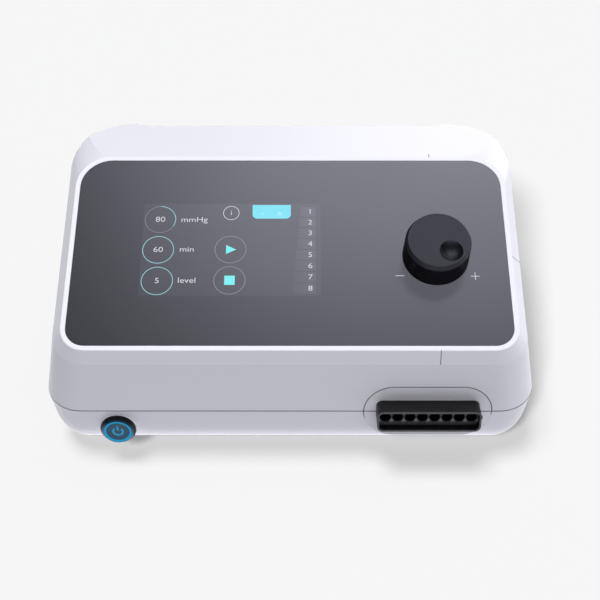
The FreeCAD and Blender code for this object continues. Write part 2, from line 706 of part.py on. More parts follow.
def make_encoder_shaft():
    shaft = rod(SHAFT_RADIUS, -CEILING - 5.0, 14.0)
    collar = rod(4.5, -CEILING - 4.0, -CEILING - 2.5)
    return placed(shaft.fuse(collar), DIAL_FRAME)


def make_encoder_body():
    """Housing with a hollow for the shaft's collar, and the threaded bush that holds it to the shell."""
    case = block((-6.2, 6.2), (-6.6, 6.6), (-CEILING - 7.0, -CEILING))
    bush = rod(BUSH_RADIUS, -CEILING, 3.0)
    hollow = [rod(SHAFT_RADIUS + SHAFT_PLAY, -CEILING - 5.3, 5), rod(4.8, -CEILING - 4.3, -CEILING - 2.2)]
    return placed(without(case.fuse(bush), hollow), DIAL_FRAME)


def make_encoder_nut():
    return placed(hexagon(11.0, BUSH_RADIUS, -POCKET, -POCKET + 2.0), DIAL_FRAME)


def make_encoder_board():
    low = -CEILING - 7.0
    board = slab(centred_outline(30, 24, 2), low - BOARD_THICKNESS, low)
    plug = block((-6, 6), (-10.5, -4.5), (low - BOARD_THICKNESS - 5, low - BOARD_THICKNESS))
    return placed(board.fuse(plug), DIAL_FRAME)


# ---- power button ----
def make_button_bezel():
    """Bevelled ring and threaded barrel, stepped inside for the light ring and the cap."""
    ring_in, ring_out = LIGHT_RING
    end = -BOSS_LENGTH - 6
    under = -BEZEL_HEIGHT
    barrel = [(ring_in, end), (BARREL_RADIUS, end), (BARREL_RADIUS, under)]
    rim = [(BEZEL_RADIUS, under), (BEZEL_RADIUS, under + BEZEL_STEP), (ring_out + 0.45, 0), (ring_out, 0)]
    profile = barrel + rim + [(ring_out, -4), (ring_in, -4)]
    return placed(turned(profile), BUTTON_FRAME)


def make_button_light_ring():
    ring_in, ring_out = LIGHT_RING
    return placed(tube(ring_out, ring_in, -4, -0.1), BUTTON_FRAME)


def make_button_cap():
    crown = 0.5
    profile = [(0, -CAP_LENGTH), (CAP_RADIUS, -CAP_LENGTH), (CAP_RADIUS, -0.4), (CAP_RADIUS - 0.4, 0), (0, 0)]
    body = turned(profile)
    stem = rod(2.0, -CAP_LENGTH - 6, -CAP_LENGTH)
    dish_radius = 60.0
    dish = Part.makeSphere(dish_radius, V(0, 0, dish_radius - crown))
    return placed(body.fuse(stem).cut(dish), BUTTON_FRAME)


def make_button_switch():
    """Switch unit in the rear of the barrel, with four terminals."""
    ring_in = LIGHT_RING[0]
    front = -CAP_LENGTH - 4.0
    end = -BOSS_LENGTH - 12
    body = rod(ring_in, end, front).cut(rod(2.1, front - 6, front))
    pins = [block((x - 0.4, x + 0.4), (y - 1.4, y + 1.4), (end - 6, end)) for x in (-3, 3) for y in (-3, 3)]
    return placed(joined([body] + pins), BUTTON_FRAME)


def make_button_nut():
    return placed(hexagon(21.0, BARREL_RADIUS, -BOSS_LENGTH - 4, -BOSS_LENGTH), BUTTON_FRAME)


# ---- hose socket and air path ----
def port_places():
    middle = (PORT_COUNT - 1) / 2
    return [((i - middle) * PORT_PITCH, PORT_UP) for i in range(PORT_COUNT)]


def socket_slab(width, height, radius, low, high):
    body = slab(centred_outline(width, height, radius), low, high)
    body.translate(V(0, SOCKET_UP, 0))
    return body


def make_socket_shroud():
    """Open rounded collar with a flange behind the wall and three small catches near its mouth."""
    width, height = SHROUD
    back = -WALL - 0.8 - FLANGE[2]
    collar = socket_slab(width, height, SHROUD_CORNER, back, SOCKET_REACH)
    flange = socket_slab(FLANGE[0], FLANGE[1], 8.0, back, -WALL - 0.8)
    inner = (width - 2 * SHROUD_WALL, height - 2 * SHROUD_WALL)
    hollow = socket_slab(inner[0], inner[1], SHROUD_CORNER - SHROUD_WALL, back - 1, 20)
    top = SOCKET_UP + height / 2
    profile = [(top - 0.2, SOCKET_REACH - 0.3), (top + 0.6, SOCKET_REACH - 0.9)]
    profile += [(top + 0.6, SOCKET_REACH - 1.8), (top - 0.2, SOCKET_REACH - 3.4)]
    catches = []
    for i in (2, 5):
        x = port_places()[i][0]
        catches.append(prism([(x - 0.7, y, z) for y, z in profile], (1.4, 0, 0)))
    side = [(width / 2 + y - top, SOCKET_UP + 1.8, z) for y, z in profile]
    catches.append(prism(side, (0, 1.6, 0)))
    return placed(joined([collar, flange] + catches).cut(hollow), SOCKET_FRAME)


def make_socket_gasket():
    pad = socket_slab(FLANGE[0], FLANGE[1], 8.0, -WALL - 0.8, -WALL)
    hole = socket_slab(SHROUD[0] + 0.4, SHROUD[1] + 0.4, SHROUD_CORNER + 0.2, -10, 10)
    return placed(pad.cut(hole), SOCKET_FRAME)


def make_port_block():
    """Eight plain sockets in one block, each with a hose barb at the back."""
    width, height = SHROUD[0] - 2 * SHROUD_WALL - 0.1, SHROUD[1] - 2 * SHROUD_WALL - 0.1
    back = -WALL - 0.8 - FLANGE[2]
    block_body = socket_slab(width, height, SHROUD_CORNER - SHROUD_WALL, back, PORT_FACE)
    plate = socket_slab(FLANGE[0], FLANGE[1] - 6, 4.0, back - 2.0, back)
    barbs = [rod(BARB_RADIUS, BARB_TIP, back - 1, x, y) for x, y in port_places()]
    body = joined([block_body, plate] + barbs)
    holes = [rod(PORT_RADIUS, PORT_FACE - PORT_DEPTH, PORT_FACE + 1, x, y) for x, y in port_places()]
    holes += [rod(1.1, BARB_TIP - 1, PORT_FACE - PORT_DEPTH + 1, x, y) for x, y in port_places()]
    return placed(without(body, holes), SOCKET_FRAME)


def make_link_hoses():
    low, high = MANIFOLD_FRONT + 0.6, -WALL - 0.8 - FLANGE[2] - 2.6
    hoses = [tube(HOSE_RADIUS, BARB_RADIUS + 0.02, low, high, x, y) for x, y in port_places()]
    return placed(group(hoses), SOCKET_FRAME)


def make_valve_manifold():
    width, height, depth = MANIFOLD
    rise = (MANIFOLD_TOP - height, MANIFOLD_TOP)
    body = block((-width / 2, width / 2), rise, (MANIFOLD_FRONT - depth, MANIFOLD_FRONT))
    barbs = [rod(BARB_RADIUS, MANIFOLD_FRONT - 1, MANIFOLD_FRONT + 4.6, x, y) for x, y in port_places()]
    inlet = Part.makeCylinder(2.9, 8.0, V(-width / 2 + 1, -2, -33), V(-1, 0, 0))
    bores = [rod(1.1, MANIFOLD_FRONT - 4, MANIFOLD_FRONT + 5, x, y) for x, y in port_places()]
    bores += manifold_screw_rods(1.6)
    return placed(without(joined([body, inlet] + barbs), bores), SOCKET_FRAME)


def make_manifold_screws():
    screws = []
    for rod_shape in manifold_screw_rods(1.2):
        x = rod_shape.BoundBox.Center.x
        z = rod_shape.BoundBox.Center.z
        head = Part.makeCylinder(2.8, 2.2, V(x, MANIFOLD_TOP, z), V(0, 1, 0))
        screws.append(rod_shape.fuse(head))
    return placed(group(screws), SOCKET_FRAME)


def make_solenoid_valves():
    """Two rows of four small valves on the back of the manifold."""
    valves = []
    half = VALVE / 2
    for row in (-10.0, 6.0):
        for column in range(4):
            x = -22.5 + 15 * column
            foot = slab(centred_outline(VALVE, VALVE, 0.6), -MANIFOLD_BACK - 4, -MANIFOLD_BACK)
            foot.translate(V(x, row, 0))
            coil = rod(half - 0.6, -MANIFOLD_BACK - 19, -MANIFOLD_BACK - 4, x, row)
            cap = block((x - 5, x + 5), (row - 5, row + 5), (-MANIFOLD_BACK - 22, -MANIFOLD_BACK - 19))
            valves.append(joined([foot, coil, cap]))
    return placed(group(valves), SOCKET_FRAME)


def make_pressure_sensor():
    case = block((-6, 6), (MANIFOLD_TOP, MANIFOLD_TOP + 6), (-41, -29))
    rise = (MANIFOLD_TOP + 5, MANIFOLD_TOP + 9)
    pins = [block((-5 + 3 * i, -4.2 + 3 * i), rise, (-36, -34)) for i in range(4)]
    return placed(joined([case] + pins), SOCKET_FRAME)


# ---- pump ----
def make_pump_motor():
    half = MOTOR_LENGTH / 2
    body = Part.makeCylinder(MOTOR_RADIUS, MOTOR_LENGTH, V(PUMP_X - half, PUMP_Y, PUMP_Z), V(1, 0, 0))
    bands = []
    for offset in (-half, half - 6):
        band = Part.makeCylinder(MOTOR_RADIUS + 1.0, 6, V(PUMP_X + offset, PUMP_Y, PUMP_Z), V(1, 0, 0))
        bands.append(band)
    return joined([body] + bands)


def make_pump_heads():
    """A diaphragm head at each end of the motor: squared body, round cover, port stubs."""
    depth, width, height = HEAD
    heads = []
    for side in (-1, 1):
        near = PUMP_X + side * MOTOR_LENGTH / 2
        far = near + side * depth
        x = (min(near, far), max(near, far))
        body = block(x, (PUMP_Y - width / 2, PUMP_Y + width / 2), (PUMP_Z - height / 2, PUMP_Z + height / 2))
        upright = [e for e in body.Edges if abs(e.tangentAt(e.FirstParameter).x) > 0.9]
        body = body.makeFillet(6.0, upright)
        cover = Part.makeCylinder(21.0, 4.0, V(far, PUMP_Y, PUMP_Z), V(side, 0, 0))
        pieces = [body, cover]
        if side > 0:
            pieces.append(Part.makeCylinder(2.9, 9.0, V(far + 3, PUMP_Y, PUMP_Z), V(1, 0, 0)))
        else:
            root = V((near + far) / 2, PUMP_Y - width / 2 + 1, PUMP_Z + 8)
            pieces.append(Part.makeCylinder(4.0, 7.0, root, V(0, -1, 0)))
        heads.append(joined(pieces))
    return group(heads)


def pump_mount_places():
    return [(PUMP_X + sx * 46.0, PUMP_Y + sy * 21.0) for sx in (-1, 1) for sy in (-1, 1)]


def make_pump_plate():
    low = PUMP_Z - HEAD[2] / 2 - 2.5
    plate = slab(centred_outline(108, 56, 6), low, low + 2.5)
    plate.translate(V(PUMP_X, PUMP_Y, 0))
    return without(plate, [rod(1.8, low - 1, low + 4, x, y) for x, y in pump_mount_places()])


def make_pump_mounts():
    """Rubber bobbins between the floor and the pump plate."""
    low = FOOT_STAND + WALL
    high = PUMP_Z - HEAD[2] / 2 - 2.5
    middle = (low + high) / 2
    profile = [(0, low), (6.5, low), (6.5, low + 1.8), (5.0, middle)]
    profile += [(6.5, high - 1.8), (6.5, high), (0, high)]
    return screws_at(pump_mount_places(), 0, turned(profile))


def make_intake_filter():
    x = PUMP_X - MOTOR_LENGTH / 2 - HEAD[0] / 2
    front = PUMP_Y - HEAD[1] / 2 - 6
    body = Part.makeCylinder(10.0, 14.0, V(x, front, PUMP_Z + 8), V(0, -1, 0))
    ribs = [Part.makeCylinder(10.8, 1.5, V(x, front - 2 - 4 * i, PUMP_Z + 8), V(0, -1, 0)) for i in range(3)]
    return joined([body] + ribs)


def make_supply_hose():
    """Hose from the pump's outlet stub to the stub on the manifold's side."""
    start = V(PUMP_X + MOTOR_LENGTH / 2 + HEAD[0] + 5, PUMP_Y, PUMP_Z)
    end = SOCKET_FRAME.multVec(V(-MANIFOLD[0] / 2 - 1, -2, -33))
    turn_x = (start.x + end.x) / 2
    points = [start, (turn_x, start.y, start.z), (turn_x, end.y, end.z), end]
    return pipe(points, 4.2, 2.95, 10.0)


# ---- power supply and inlet ----
def make_supply_board():
    board = slab(centred_outline(92, 60, 2), SUPPLY_Z, SUPPLY_Z + BOARD_THICKNESS)
    board.translate(V(61, 52, 0))
    return without(board, [rod(1.8, SUPPLY_Z - 1, SUPPLY_Z + 3, x, y) for x, y in SUPPLY_POSTS])


def make_supply_parts():
    """Transformer, reservoir capacitors, choke, finned heat sink and terminal block."""
    low = SUPPLY_Z + BOARD_THICKNESS
    core = block((74, 102), (36, 66), (low, low + 24))
    winding = block((70, 106), (41, 61), (low + 4, low + 20))
    parts = [core.fuse(winding)]
    parts += [rod(7.5, low, low + 26, 32, y) for y in (36, 54)]
    parts.append(tube(7.5, 3.5, low, low + 9, 48, 36))
    sink = block((58, 61), (30, 62), (low, low + 28))
    fins = [block((61, 68), (30 + 6 * i, 31.6 + 6 * i), (low + 6, low + 28)) for i in range(6)]
    parts.append(joined([sink] + fins))
    parts.append(block((48, 76), (66, 74), (low, low + 10)))
    return group(parts)


def make_supply_screws():
    flip = FreeCAD.Placement(V(0, 0, 0), FreeCAD.Rotation(V(1, 0, 0), 180))
    return screws_at(SUPPLY_POSTS, SUPPLY_Z + BOARD_THICKNESS, placed(screw(1.15, 7.0, 2.8, 1.6, 1.2), flip))


def in_inlet(shape):
    shape.translate(V(-INLET_X, INLET_UP, 0))
    return placed(shape, REAR_FRAME)


def make_mains_inlet():
    """Snap-in appliance inlet: bezel, body and a cavity with two cut corners."""
    width, height, depth = INLET_CAVITY
    face = -RECESS_DEPTH
    bezel = slab(centred_outline(32, 25.5, 3), face, face + 2)
    body = slab(centred_outline(27, 20, 1.5), face - 22, face)
    x, y, cut = width / 2, height / 2, 5.0
    outline = [(-x, -y, 0), (x, -y, 0), (x, y - cut, 0), (x - cut, y, 0), (-x + cut, y, 0), (-x, y - cut, 0)]
    cavity = prism(outline, (0, 0, depth + 5))
    cavity.translate(V(0, 0, face + 2 - depth))
    return in_inlet(bezel.fuse(body).cut(cavity))


def make_inlet_pins():
    depth = INLET_CAVITY[2]
    low = -RECESS_DEPTH + 2 - depth
    pins = [block((x - 1, x + 1), (y - 2, y + 2), (low, low + 15)) for x, y in ((-7, -2), (7, -2), (0, 2))]
    return in_inlet(group(pins))


def make_inlet_leads():
    """Two insulated leads from the back of the inlet down to the terminal block."""
    leads = []
    for x in (INLET_X - 6, INLET_X + 6):
        start = REAR_FRAME.multVec(V(-x, INLET_UP, -RECESS_DEPTH - 22))
        points = [start, (x, 70.0, start.z), (x, 70.0, SUPPLY_Z + BOARD_THICKNESS + 10)]
        leads.append(pipe(points, 1.4, 0, 4.0))
    return group(leads)


def make_vent_filter():
    sheet = slab(centred_outline(64, 38, 3), -RECESS_DEPTH - WALL - 3.2, -RECESS_DEPTH - WALL)
    sheet.translate(V(34 + 6.6 * 4, 27, 0))
    return placed(sheet, REAR_FRAME)


# ---- fixings and feet ----
def make_housing_screws():
    return screws_at(COLUMNS, SCREW_SEAT, screw(1.4, 23.0, 3.4, 2.4, 2.0))


def make_rubber_feet():
    top = FOOT_STAND + 1.0
    profile = [(0, 0), (FOOT_RADIUS - 0.8, 0), (FOOT_RADIUS, 0.8), (FOOT_RADIUS, top), (0, top)]
    return screws_at(FEET, 0, turned(profile))


NODES = {
    "upper_housing": make_upper_housing,
    "lower_housing": make_lower_housing,
    "face_panel": make_face_panel,
    "panel_adhesive": make_panel_adhesive,
    "display_gasket": make_display_gasket,
    "display_frame": make_display_frame,
    "display_screen": make_display_screen,
    "display_bracket": make_display_bracket,
    "display_ribbon": make_display_ribbon,
    "bracket_screws": make_bracket_screws,
    "control_board": make_control_board,
    "control_board_parts": make_control_board_parts,
    "board_screws": make_board_screws,
    "control_dial": make_control_dial,
    "encoder_shaft": make_encoder_shaft,
    "encoder_body": make_encoder_body,
    "encoder_nut": make_encoder_nut,
    "encoder_board": make_encoder_board,
    "button_bezel": make_button_bezel,
    "button_light_ring": make_button_light_ring,
    "button_cap": make_button_cap,
    "button_switch": make_button_switch,
    "button_nut": make_button_nut,
    "socket_shroud": make_socket_shroud,
    "socket_gasket": make_socket_gasket,
    "port_block": make_port_block,
    "link_hoses": make_link_hoses,
    "valve_manifold": make_valve_manifold,
    "manifold_screws": make_manifold_screws,
    "solenoid_valves": make_solenoid_valves,
    "pressure_sensor": make_pressure_sensor,
    "pump_motor": make_pump_motor,
    "pump_heads": make_pump_heads,
    "pump_plate": make_pump_plate,
    "pump_mounts": make_pump_mounts,
    "intake_filter": make_intake_filter,
    "supply_hose": make_supply_hose,
    "supply_board": make_supply_board,
    "supply_parts": make_supply_parts,
    "supply_screws": make_supply_screws,
    "mains_inlet": make_mains_inlet,
    "inlet_pins": make_inlet_pins,
    "inlet_leads": make_inlet_leads,
    "vent_filter": make_vent_filter,
    "housing_screws": make_housing_screws,
    "rubber_feet": make_rubber_feet,
}


def main():
    os.makedirs("parts", exist_ok=True)
    for name, make in NODES.items():
        shape = make()
        shape.exportStep(f"parts/{name}.step")
        size = shape.BoundBox
        print(f"{name:22s} solids {len(shape.Solids):2d} valid {shape.isValid()} "
              f"{size.XLength:6.1f} x {size.YLength:6.1f} x {size.ZLength:6.1f}")


main()
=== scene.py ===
import json
import math

import bmesh
import bpy
from mathutils import Matrix, Vector


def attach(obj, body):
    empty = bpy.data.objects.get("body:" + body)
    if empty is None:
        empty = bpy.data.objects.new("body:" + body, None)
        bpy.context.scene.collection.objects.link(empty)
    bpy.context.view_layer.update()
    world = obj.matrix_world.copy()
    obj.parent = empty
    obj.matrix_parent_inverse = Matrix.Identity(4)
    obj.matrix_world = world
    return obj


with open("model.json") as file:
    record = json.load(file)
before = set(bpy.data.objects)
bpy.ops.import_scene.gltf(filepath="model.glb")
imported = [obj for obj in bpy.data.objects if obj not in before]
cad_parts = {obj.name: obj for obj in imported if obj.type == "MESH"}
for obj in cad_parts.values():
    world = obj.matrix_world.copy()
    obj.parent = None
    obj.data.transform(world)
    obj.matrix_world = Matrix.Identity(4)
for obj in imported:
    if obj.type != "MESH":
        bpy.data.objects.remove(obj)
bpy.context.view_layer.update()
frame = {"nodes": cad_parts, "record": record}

# Compression therapy pump: finishes, printed and lit marks, floor, light and camera round the packed
# console.  Sizes are in millimetres of each part's own frame; every frame scales them to metres.

MM = 0.001
LIFT = 0.03                        # how far printed and lit marks stand proud of the panel
SKIN = 0.02                        # their thickness
WHITE = (1.0, 1.0, 1.0, 1.0)


def frame_at(x, y, z, lean):
    """Frame at a point, turned about X, that takes millimetres to metres."""
    place = Matrix.Translation(Vector((x, y, z)) * MM)
    return place @ Matrix.Rotation(math.radians(lean), 4, "X") @ Matrix.Scale(MM, 4)


SEAM = 43.1579                     # height of the line between the two shells
PANEL_LEAN = 15.0
PANEL = frame_at(0, -74, SEAM + 43.9, PANEL_LEAN)
DIAL_ON_PANEL = (89.3, 60.7)
DIAL = PANEL @ Matrix.Translation((*DIAL_ON_PANEL, 0))
BUTTON_LEAN = 81.0
BUTTON = frame_at(-106.0, -93.8, SEAM - 14.7, BUTTON_LEAN)
SOCKET_LEAN = 76.4116
SOCKET = frame_at(83.8, -89.0, SEAM, SOCKET_LEAN)


# ---- node trees ----
CAMERA_RAY, GLOSSY_RAY = 0, 3      # outputs of a Light Path node


class Signal:
    """A shader socket that Python arithmetic turns into Math nodes."""

    def __init__(self, graph, socket):
        self.graph = graph
        self.socket = socket

    def maths(self, operation, *values):
        return self.graph.add("ShaderNodeMath", {"operation": operation}, values)

    def __add__(self, other):
        return self.maths("ADD", self, other)

    __radd__ = __add__

    def __sub__(self, other):
        return self.maths("SUBTRACT", self, other)

    def __rsub__(self, other):
        return self.maths("SUBTRACT", other, self)

    def __mul__(self, other):
        return self.maths("MULTIPLY", self, other)

    __rmul__ = __mul__

    def __truediv__(self, other):
        return self.maths("DIVIDE", self, other)

    def __abs__(self):
        return self.maths("ABSOLUTE", self)

    def sine(self):
        return self.maths("SINE", self)

    def root(self):
        return self.maths("SQRT", self)

    def larger(self, other):
        return self.maths("MAXIMUM", self, other)

    def rise(self, low, high, out_low=0.0, out_high=1.0):
        """Smooth step from out_low to out_high as the signal goes from low to high."""
        settings = {"interpolation_type": "SMOOTHSTEP"}
        return self.graph.add("ShaderNodeMapRange", settings, (self, low, high, out_low, out_high))


class Graph:
    """A node tree with one way to add a node."""

    def __init__(self, tree):
        self.tree = tree

    def add(self, kind, settings=(), inputs=(), output=0):
        node = self.tree.nodes.new(kind)
        for key, value in dict(settings).items():
            setattr(node, key, value)
        pairs = inputs.items() if isinstance(inputs, dict) else enumerate(inputs)
        for key, value in pairs:
            self.feed(node.inputs[key], value)
        return Signal(self, node.outputs[output])

    def feed(self, socket, value):
        if isinstance(value, Signal):
            self.tree.links.new(value.socket, socket)
        else:
            socket.default_value = value

    def blend(self, factor, first, second):
        """Colour between two colours.  A Mix node's colours are its inputs 6 and 7 and its output 2."""
        colours = {0: factor, 6: rgba(first), 7: rgba(second)}
        return self.add("ShaderNodeMix", {"data_type": "RGBA"}, colours, 2)

    def place(self, where=None, lean=0.0):
        """Object coordinates in a part's own frame, in metres."""
        here = self.add("ShaderNodeTexCoord", output="Object")
        origin = tuple(where.to_translation()) if where else (0, 0, 0)
        turn = (math.radians(lean), 0, 0)
        return self.add("ShaderNodeMapping", {"vector_type": "TEXTURE"}, (here, origin, turn))

    def axes(self, vector):
        return [self.add("ShaderNodeSeparateXYZ", (), (vector,), i) for i in range(3)]

    def noise(self, vector, scale, detail=2.0, roughness=0.5):
        """Soft uneven pattern with about so many patches to a metre."""
        inputs = {"Vector": vector, "Scale": scale, "Detail": detail, "Roughness": roughness}
        return self.add("ShaderNodeTexNoise", (), inputs)

    def glow(self, level, colour=WHITE):
        return self.add("ShaderNodeEmission", (), {"Color": colour, "Strength": level})

    def mixed(self, factor, first, second):
        return self.add("ShaderNodeMixShader", (), (factor, first, second))

    def show(self, output, to_matt, to_polished, to_camera):
        """Gives matt surfaces, polished surfaces and the camera a shader each."""
        glossy = self.add("ShaderNodeLightPath", output=GLOSSY_RAY)
        seen = self.add("ShaderNodeLightPath", output=CAMERA_RAY)
        to_surfaces = self.mixed(glossy, to_matt, to_polished)
        self.feed(self.tree.nodes[output].inputs["Surface"], self.mixed(seen, to_surfaces, to_camera))


def rgba(colour):
    if isinstance(colour, Signal) or len(colour) == 4:
        return colour
    return (*colour, 1.0)


class Finish(Graph):
    """A procedural material on one Principled surface."""

    def __init__(self, name, **constants):
        self.material = bpy.data.materials.new(name)
        self.material.use_nodes = True
        super().__init__(self.material.node_tree)
        self.surface = self.tree.nodes["Principled BSDF"]
        for key, value in constants.items():
            self.set(key.replace("_", " "), value)

    def set(self, socket, value):
        names = {s.name.lower(): s for s in self.surface.inputs}
        self.feed(names[socket.lower()], value)

    def relief(self, height, depth):
        """Bump from a height between 0 and 1, depth in millimetres."""
        bump = self.add("ShaderNodeBump", (), {"Strength": 1.0, "Distance": depth * MM, "Height": height})
        self.set("normal", bump)


# ---- kinds of finish ----
def scaled(colour, share):
    return tuple(c * share for c in colour)


def near(signal, middle, half, edge):
    """1 within half of middle, 0 further off, with a soft edge; all in millimetres."""
    return abs(signal - middle * MM).rise((half - edge) * MM, (half + edge) * MM, 1.0, 0.0)


def moulded(name, colour, gloss, grain=0.35, depth=0.006, tone=0.03, **constants):
    """Injection-moulded plastic: fine spark grain, faint flow marks in colour and gloss."""
    finish = Finish(name, **constants)
    here = finish.place()
    fine = finish.noise(here, 1 / (grain * MM), 3.0, 0.6)
    flow = finish.noise(here, 14.0)
    finish.set("base color", finish.blend(flow.rise(0.35, 0.65), scaled(colour, 1 - tone), colour))
    finish.set("roughness", gloss + 0.05 * (flow - 0.5) + 0.06 * (fine - 0.5))
    finish.relief(fine, depth)
    return finish


def brushed(name, colour, gloss, pitch=0.25):
    """Metal with a fine drawn grain along X."""
    finish = Finish(name, metallic=1.0)
    here = finish.place()
    drawn_out = {"Vector": here, "Scale": (0.05, 1, 1)}
    stretched = finish.add("ShaderNodeMapping", {"vector_type": "POINT"}, drawn_out)
    lines = finish.noise(stretched, 1 / (pitch * MM), 3.0)
    patches = finish.noise(here, 60.0)
    finish.set("base color", finish.blend(patches.rise(0.3, 0.7), scaled(colour, 0.86), colour))
    finish.set("roughness", gloss + 0.12 * (lines - 0.5))
    finish.relief(lines, 0.004)
    return finish


def circuit_board():
    """Solder-masked board: weave under the mask, tracks and pads as lighter lines."""
    finish = Finish("solder_mask", coat_weight=0.4, coat_roughness=0.2)
    here = finish.place()
    x, y, z = finish.axes(here)
    threads = 4200.0               # of the weave, in radians to a metre
    weave = (x * threads).sine() * (y * threads).sine()
    cells = finish.add("ShaderNodeTexVoronoi", {"distance": "MANHATTAN"}, {"Vector": here, "Scale": 260.0})
    tracks = cells.rise(0.32, 0.36) - cells.rise(0.44, 0.48)
    mask_green, track_green = (0.010, 0.075, 0.035), (0.022, 0.14, 0.06)
    finish.set("base color", finish.blend(tracks, mask_green, track_green))
    finish.set("roughness", 0.42 - 0.1 * tracks)
    finish.relief(0.5 + 0.2 * weave + 0.3 * tracks, 0.02)
    return finish


def foam(name, colour, cell=0.9):
    """Open-cell foam or felt."""
    finish = Finish(name)
    here = finish.place()
    cells = finish.add("ShaderNodeTexVoronoi", (), {"Vector": here, "Scale": 1 / (cell * MM)})
    finish.set("base color", finish.blend(cells.rise(0.15, 0.6), scaled(colour, 0.35), colour))
    finish.set("roughness", 0.95 - 0.1 * cells)
    finish.relief(cells, 0.3)
    return finish


def clear_hose():
    """Milky silicone."""
    finish = Finish("silicone", coat_weight=0.3, subsurface_weight=0.2)
    cloud = finish.noise(finish.place(), 90.0)
    finish.set("base color", finish.blend(cloud.rise(0.3, 0.7), (0.62, 0.65, 0.67), (0.74, 0.76, 0.77)))
    finish.set("roughness", 0.34 + 0.1 * cloud)
    finish.relief(cloud, 0.02)
    return finish


def lit(name, colour, under=(0.02, 0.02, 0.025)):
    """Glowing mark or diffuser, a little uneven as a real one is."""
    finish = Finish(name, emission_strength=1.0, roughness=0.3, specular_ior_level=0.1)
    uneven = finish.noise(finish.place(), 180.0)
    finish.set("base color", finish.blend(uneven, under, scaled(under, 1.4)))
    finish.set("emission color", finish.blend(uneven.rise(0.3, 0.7), scaled(colour, 0.96), colour))
    return finish


# ---- finishes of one part each ----
SHEET_TINT = (0.84, 0.84, 1.0, 1.0)    # of the panel's reflections


def socket_oval_shade(finish):
    """Painted shade along the oval edge of the field that carries the socket."""
    half_straight, radius, half_width = 20.45, 18.55, 0.3
    x, y, z = finish.axes(finish.place(SOCKET, SOCKET_LEAN))
    beyond = (abs(x) - half_straight * MM).larger(0.0)
    from_middle = (beyond * beyond + y * y).root()
    on_outside = near(z, -4.0, 7.0, 0.5)
    return near(from_middle, radius, half_width, 0.1) * on_outside


def index_groove_shade(finish):
    """Painted shade in the short index grooves on the housing in front of the dial, behind it and to its
    right.
    """
    u, v, w = finish.axes(finish.place(PANEL, PANEL_LEAN))
    dial_u, dial_v = DIAL_ON_PANEL
    in_front, behind, to_right = (-5.9, 3.0), (136.3, 1.6), (139.7, 3.2)    # middle and half length
    half_width = 0.26
    upright = near(u, dial_u, half_width, 0.1) * near(v, *in_front, 0.2).larger(near(v, *behind, 0.2))
    level = near(v, dial_v, half_width, 0.1) * near(u, *to_right, 0.2)
    on_outside = near(w, -5, 9, 1)
    return upright.larger(level) * on_outside


def shell_white():
    """Satin white housing, with painted shade in its seam, in the oval round the socket and in the index
    grooves.
    """
    colour, dark = (0.86, 0.86, 0.885), (0.05, 0.05, 0.06)
    finish = moulded("shell_white", colour, 0.22, grain=0.45, depth=0.002, tone=0.012)
    x, y, z = finish.axes(finish.place())
    # Painted shade: the seam, the oval round the socket and the index grooves are blended towards dark,
    # for the shade that falls into them.
    seam_middle, half_width = SEAM + 0.2, 0.33
    seam_shade = near(z, seam_middle, half_width, 0.1)
    lines = seam_shade.larger(socket_oval_shade(finish)).larger(index_groove_shade(finish) * 0.85)
    finish.set("base color", finish.blend(lines * 0.9, colour, dark))
    return finish


def panel_sheet():
    """Dark satin sheet, with the display's field showing through a shade lighter."""
    finish = Finish("panel_sheet", specular_ior_level=1.0, specular_tint=SHEET_TINT)
    here = finish.place(PANEL, PANEL_LEAN)
    u, v, w = finish.axes(here)
    across, up = (-36.4, 55.3), (66.15, 32.95)    # middle and half length of the field
    field = near(u, *across, 0.6) * near(v, *up, 0.6)
    cloud = finish.noise(here, 9.0)
    grain = finish.noise(here, 3000.0)
    black = finish.blend(cloud, (0.0075, 0.0075, 0.012), (0.0095, 0.0095, 0.014))
    finish.set("base color", finish.blend(field, black, (0.027, 0.027, 0.034)))
    finish.set("roughness", 0.30 + 0.04 * cloud + 0.04 * grain)
    finish.relief(grain, 0.0015)
    return finish


def spun_black():
    """Satin black knob with fine turned rings on its face, and a painted highlight all round its bevel."""
    ring_pitch, bevel_height, bevel_start = 0.42, 18.8, 18.0
    finish = Finish("spun_black", specular_ior_level=0.29, specular_tint=(0.78, 0.81, 1.0, 1.0))
    here = finish.place(DIAL, PANEL_LEAN)
    x, y, z = finish.axes(here)
    radius = (x * x + y * y).root()
    rings = (radius * (2 * math.pi / (ring_pitch * MM))).sine()
    cloud = finish.noise(here, 70.0)
    grain = finish.noise(here, 2400.0)
    black = finish.blend(cloud, (0.0030, 0.0030, 0.0042), (0.0045, 0.0045, 0.0062))
    # Painted highlight: the bevel is paler all round, for the light that its edge catches.
    bevel_highlight = near(z, bevel_height, 1.6, 0.3) * radius.rise(bevel_start * MM, (bevel_start + 0.4) * MM)
    finish.set("base color", finish.blend(bevel_highlight, black, (0.026, 0.026, 0.031)))
    finish.set("roughness", 0.40 + 0.06 * cloud + 0.03 * rings)
    finish.relief(0.5 + 0.25 * rings + 0.25 * grain, 0.003)
    return finish


def bezel_black():
    """Black anodised ring with the lamp ring's blue glow painted on its inner bevel as emission, most at
    the bottom.
    """
    inner_edge, outer_edge = 8.6, 10.4
    finish = Finish("bezel_black", metallic=0.6, emission_strength=1.0)
    here = finish.place(BUTTON, BUTTON_LEAN)
    x, y, z = finish.axes(here)
    # Painted light: emission where the lamp ring's glow falls on the bezel.
    inward = (x * x + y * y).root().rise(inner_edge * MM, outer_edge * MM, 1.0, 0.0)
    low_down = y.rise(-10.0 * MM, 9.0 * MM, 1.0, 0.15)
    painted_glow = inward * low_down * z.rise(-1.5 * MM, -0.2 * MM)
    swirl = finish.noise(here, 500.0)
    finish.set("base color", finish.blend(swirl, (0.010, 0.010, 0.012), (0.018, 0.018, 0.022)))
    finish.set("roughness", 0.26 + 0.1 * swirl)
    finish.set("emission color", finish.blend(painted_glow, (0.0, 0.0, 0.0), (0.012, 0.20, 0.42)))
    finish.relief(swirl, 0.003)
    return finish


